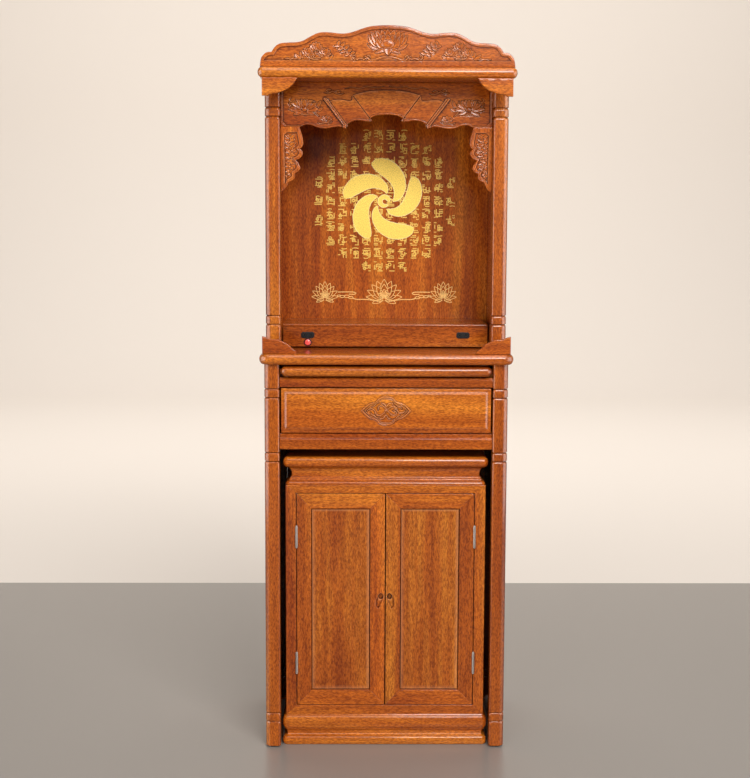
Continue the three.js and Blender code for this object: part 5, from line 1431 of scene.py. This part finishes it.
for side, factor in (("right", 1), ("left", -1)):
    low, high = box_mm(f"valance_drop_{side}")
    outline = drop_outline if factor > 0 else drop_outline[::-1] * (-1, 1)
    drop = Carving(outline, DROP_RIM, step=0.65, arris=1.2)
    field = drop_field if factor > 0 else drop_field[::-1] * (-1, 1)
    drop.area(field, DROP_GROUND - 0.6, 1.2)
    rim_line = inset_points(np.vstack([scallops, [(end_x, drop_joint)]]), 3.6)[1:-3] * (factor, 1)
    drop.groove(rim_line, 1.3, 0.6)
    vine = smooth_line(np.array([(268, 1673), (260, 1662), (264, 1648), (254, 1636), (262, 1622), (256, 1606),
                                 (264, 1592), (262, 1578), (269, 1566), (272, 1553)]) * (factor, 1), 1.2)
    drop.ridge(vine, 3.2, 2.2, DROP_GROUND - 0.6, 0.5)
    for foot, tip, width in (((264, 1664), (274, 1672), 8), ((260, 1662), (248, 1674), 9),
                             ((262, 1656), (246, 1661), 8), ((264, 1650), (276, 1656), 8),
                             ((262, 1646), (244, 1650), 9), ((257, 1640), (246, 1644), 7),
                             ((262, 1640), (275, 1640), 8), ((256, 1632), (243, 1627), 8),
                             ((260, 1628), (273, 1627), 8), ((261, 1618), (246, 1617), 8),
                             ((260, 1612), (274, 1612), 8), ((257, 1604), (271, 1600), 8),
                             ((260, 1598), (249, 1594), 7), ((264, 1590), (275, 1588), 7),
                             ((263, 1584), (251, 1583), 7), ((263, 1576), (274, 1574), 7),
                             ((266, 1570), (260, 1563), 6), ((270, 1562), (275, 1563), 5)):
        drop.petal(np.array(foot) * (factor, 1), np.array(tip) * (factor, 1), width, 3.0, DROP_GROUND - 0.6)
    for bud_x, bud_z in ((262, 1653), (257, 1622), (263, 1587)):
        drop.dome((factor * bud_x, bud_z), 3.4, 3.4, 3.0, DROP_GROUND - 0.6)
    wood = lacquered_wood(f"wood_drop_{side}", "Z", 1.0, (0.6, factor * 0.2, 0.9))
    drop.finish(f"carved_drop_{side}", high.y, wood, "altar_frame", [f"valance_drop_{side}"],
                "lacquered_wood")

# ---------------------------------------------------------------- crown board
# A scalloped board on the roof with a raised rim around a sunken field. In its middle an open lotus over
# water; on each side a curling cloud and a bunch of three flowers on their stems.

low, high = box_mm("crown_board")
CROWN_BOARD, CROWN_SUNK, CROWN_RIM = 18, 3, 8.5
crown_runs = [
    [(0, 1948), (20, 1947.4), (46.5, 1944.6), (67, 1939), (86, 1932.2), (106, 1927.1), (125, 1926.3),
     (145, 1928.6), (167, 1929.4), (184, 1926.6), (203, 1917.6), (221, 1907.6), (238, 1903.6), (260, 1902.6),
     (281, 1900), (294, 1891.8), (303, 1879)],
    [(303, 1879), (315, 1877.6), (323, 1872.4), (330.5, 1862), (334, low.z)]]
crown_top = joined_runs(crown_runs)[::-1]
crown_outline = np.vstack([crown_top, (crown_top[::-1] * (-1, 1))[1:]])
crown = Carving(crown_outline, CROWN_BOARD, step=0.65, arris=2.2)
closed_top = np.vstack([[(0, low.z)], crown_top])
inner_top = inset_points(closed_top, CROWN_RIM)[1:]
FIELD_BOTTOM = 1856
inner_top = inner_top[(inner_top[:, 1] > FIELD_BOTTOM + 2) & (inner_top[:, 0] < 325)]
crown_field = np.vstack([[(324, FIELD_BOTTOM)], inner_top, (inner_top[::-1] * (-1, 1))[1:],
                         [(-324, FIELD_BOTTOM)]])
crown.area(crown_field, CROWN_BOARD - CROWN_SUNK, 2.0)
sunk = CROWN_BOARD - CROWN_SUNK


def turn_out(centre, degrees, radius, squash=1.0):
    """A point at a distance and angle from a centre."""
    angle = math.radians(degrees)
    return (centre[0] + radius * math.cos(angle), centre[1] + radius * math.sin(angle) * squash)


for factor in (1, -1):
    flip = (factor, 1)

    def leaf(foot, tip, width, height=3.4, **shape):
        """A petal on this half of the crown."""
        crown.petal(np.array(foot) * flip, np.array(tip) * flip, width, height, sunk, **shape)

    def vine(points, width, height, taper=0.35):
        """A stem or scroll on this half of the crown."""
        crown.ridge(smooth_line(np.array(points) * flip, 1.2), width, height, sunk, taper)

    # water and curling waves under the lotus
    vine([(0, 1866.5), (12, 1866), (24, 1863), (34, 1859.5), (44, 1858.5)], 5.5, 2.4, 0.6)
    vine([(44, 1857), (50, 1861), (57, 1867), (62, 1866)], 4.0, 3.0)
    vine([(45, 1864), (47, 1868.5), (52, 1870), (55, 1867)], 3.4, 3.0)
    vine([(60, 1859), (70, 1862.5), (80, 1860), (88, 1857.5)], 4.0, 2.4)
    vine([(84, 1859), (90, 1863), (91, 1868.5), (86, 1869.5), (84, 1866)], 3.8, 3.0)
    # a curling branch of leaves
    vine([(90, 1868), (96, 1873), (105, 1877), (112, 1884), (120, 1892), (131, 1898)], 3.6, 2.8)
    for foot, tip, width in (((97, 1874), (84, 1879), 8), ((102, 1876), (112, 1868), 8),
                             ((106, 1879), (93, 1886), 9), ((110, 1882), (124, 1877), 9),
                             ((113, 1886), (101, 1896), 9), ((117, 1889), (132, 1885), 9),
                             ((121, 1893), (112, 1904), 9), ((125, 1895), (140, 1894), 9),
                             ((129, 1897), (126, 1908), 8)):
        leaf(foot, tip, width, 3.2)
    # three flowers on their stems
    vine([(166, 1873), (174, 1866), (184, 1863), (195, 1864)], 3.4, 2.6)
    vine([(187, 1886), (188, 1877), (192, 1869), (197, 1862)], 3.4, 2.6)
    vine([(208, 1872), (206, 1866), (199, 1861), (190, 1859.5), (176, 1860.5)], 3.4, 2.6)
    for centre, size in (((165, 1872), 19), ((209, 1871), 19), ((187, 1885), 20)):
        for degrees, width in ((8, 0.5), (172, 0.5), (36, 0.62), (144, 0.62), (90, 0.5), (64, 0.55),
                               (116, 0.55)):
            leaf(turn_out(centre, degrees, 1.5), turn_out(centre, degrees, size), size * width, 3.8,
                 scoop=0.55)
        crown.dome((centre[0] * factor, centre[1]), 3.6, 3.2, 3.8, sunk)
    leaf((226, 1860), (243, 1874), 9, 3.2, bend=-1.5 * factor)
    leaf((222, 1862), (228, 1880), 8, 3.2)
    vine([(234, 1860), (244, 1862.5), (253, 1860), (262, 1862), (270, 1860)], 3.2, 2.2)
    leaf((152, 1862), (142, 1870), 7, 2.8)
BOSS_Z = 1899.5
for side in (1, -1):
    for foot, tip, width, bend in (((22, -12), (53, 1), 10, 3), ((20, -8), (51, 24), 15, 5),
                                   ((17, -6), (42, 30), 17, 4), ((12, 0), (31, 34), 17, 2),
                                   ((6, 4), (16.5, 36.5), 17, 1)):
        crown.petal((side * foot[0], BOSS_Z + foot[1]), (side * tip[0], BOSS_Z + tip[1]), width, 4.2, sunk,
                    scoop=0.6, bend=-side * bend)
crown.petal((0, BOSS_Z + 6), (0, BOSS_Z + 38), 18, 4.4, sunk, scoop=0.6)
for side in (1, -1):
    crown.petal((side * 9, BOSS_Z + 7), (side * 14, BOSS_Z + 24), 13, 4.8, sunk, scoop=0.5)
    crown.petal((side * 12, BOSS_Z - 14), (side * 28, BOSS_Z + 18), 13, 5.0, sunk, scoop=0.5, bend=-side * 5)
    crown.petal((side * 6, BOSS_Z - 15), (side * 33, BOSS_Z - 24), 12, 4.4, sunk, bend=side * 2)
crown.petal((0, BOSS_Z + 6), (0, BOSS_Z + 25), 14, 5.0, sunk, scoop=0.5)
crown.petal((0, BOSS_Z - 8), (0, BOSS_Z - 28), 22, 4.6, sunk, fullness=0.4)
crown.dome((0, BOSS_Z), 17.8, 12.6, 5.6, sunk)
boss_ring = [turn_out((0, BOSS_Z), 15 * i, 13.6, 0.68) for i in range(25)]
crown.groove(boss_ring, 1.6, 0.8)
crown.finish("carved_crown", high.y, lacquered_wood("wood_crown", "X", 1.0, (0.9, 0.7, 0.4)), "altar_frame",
             ["crown_board"], "lacquered_wood")
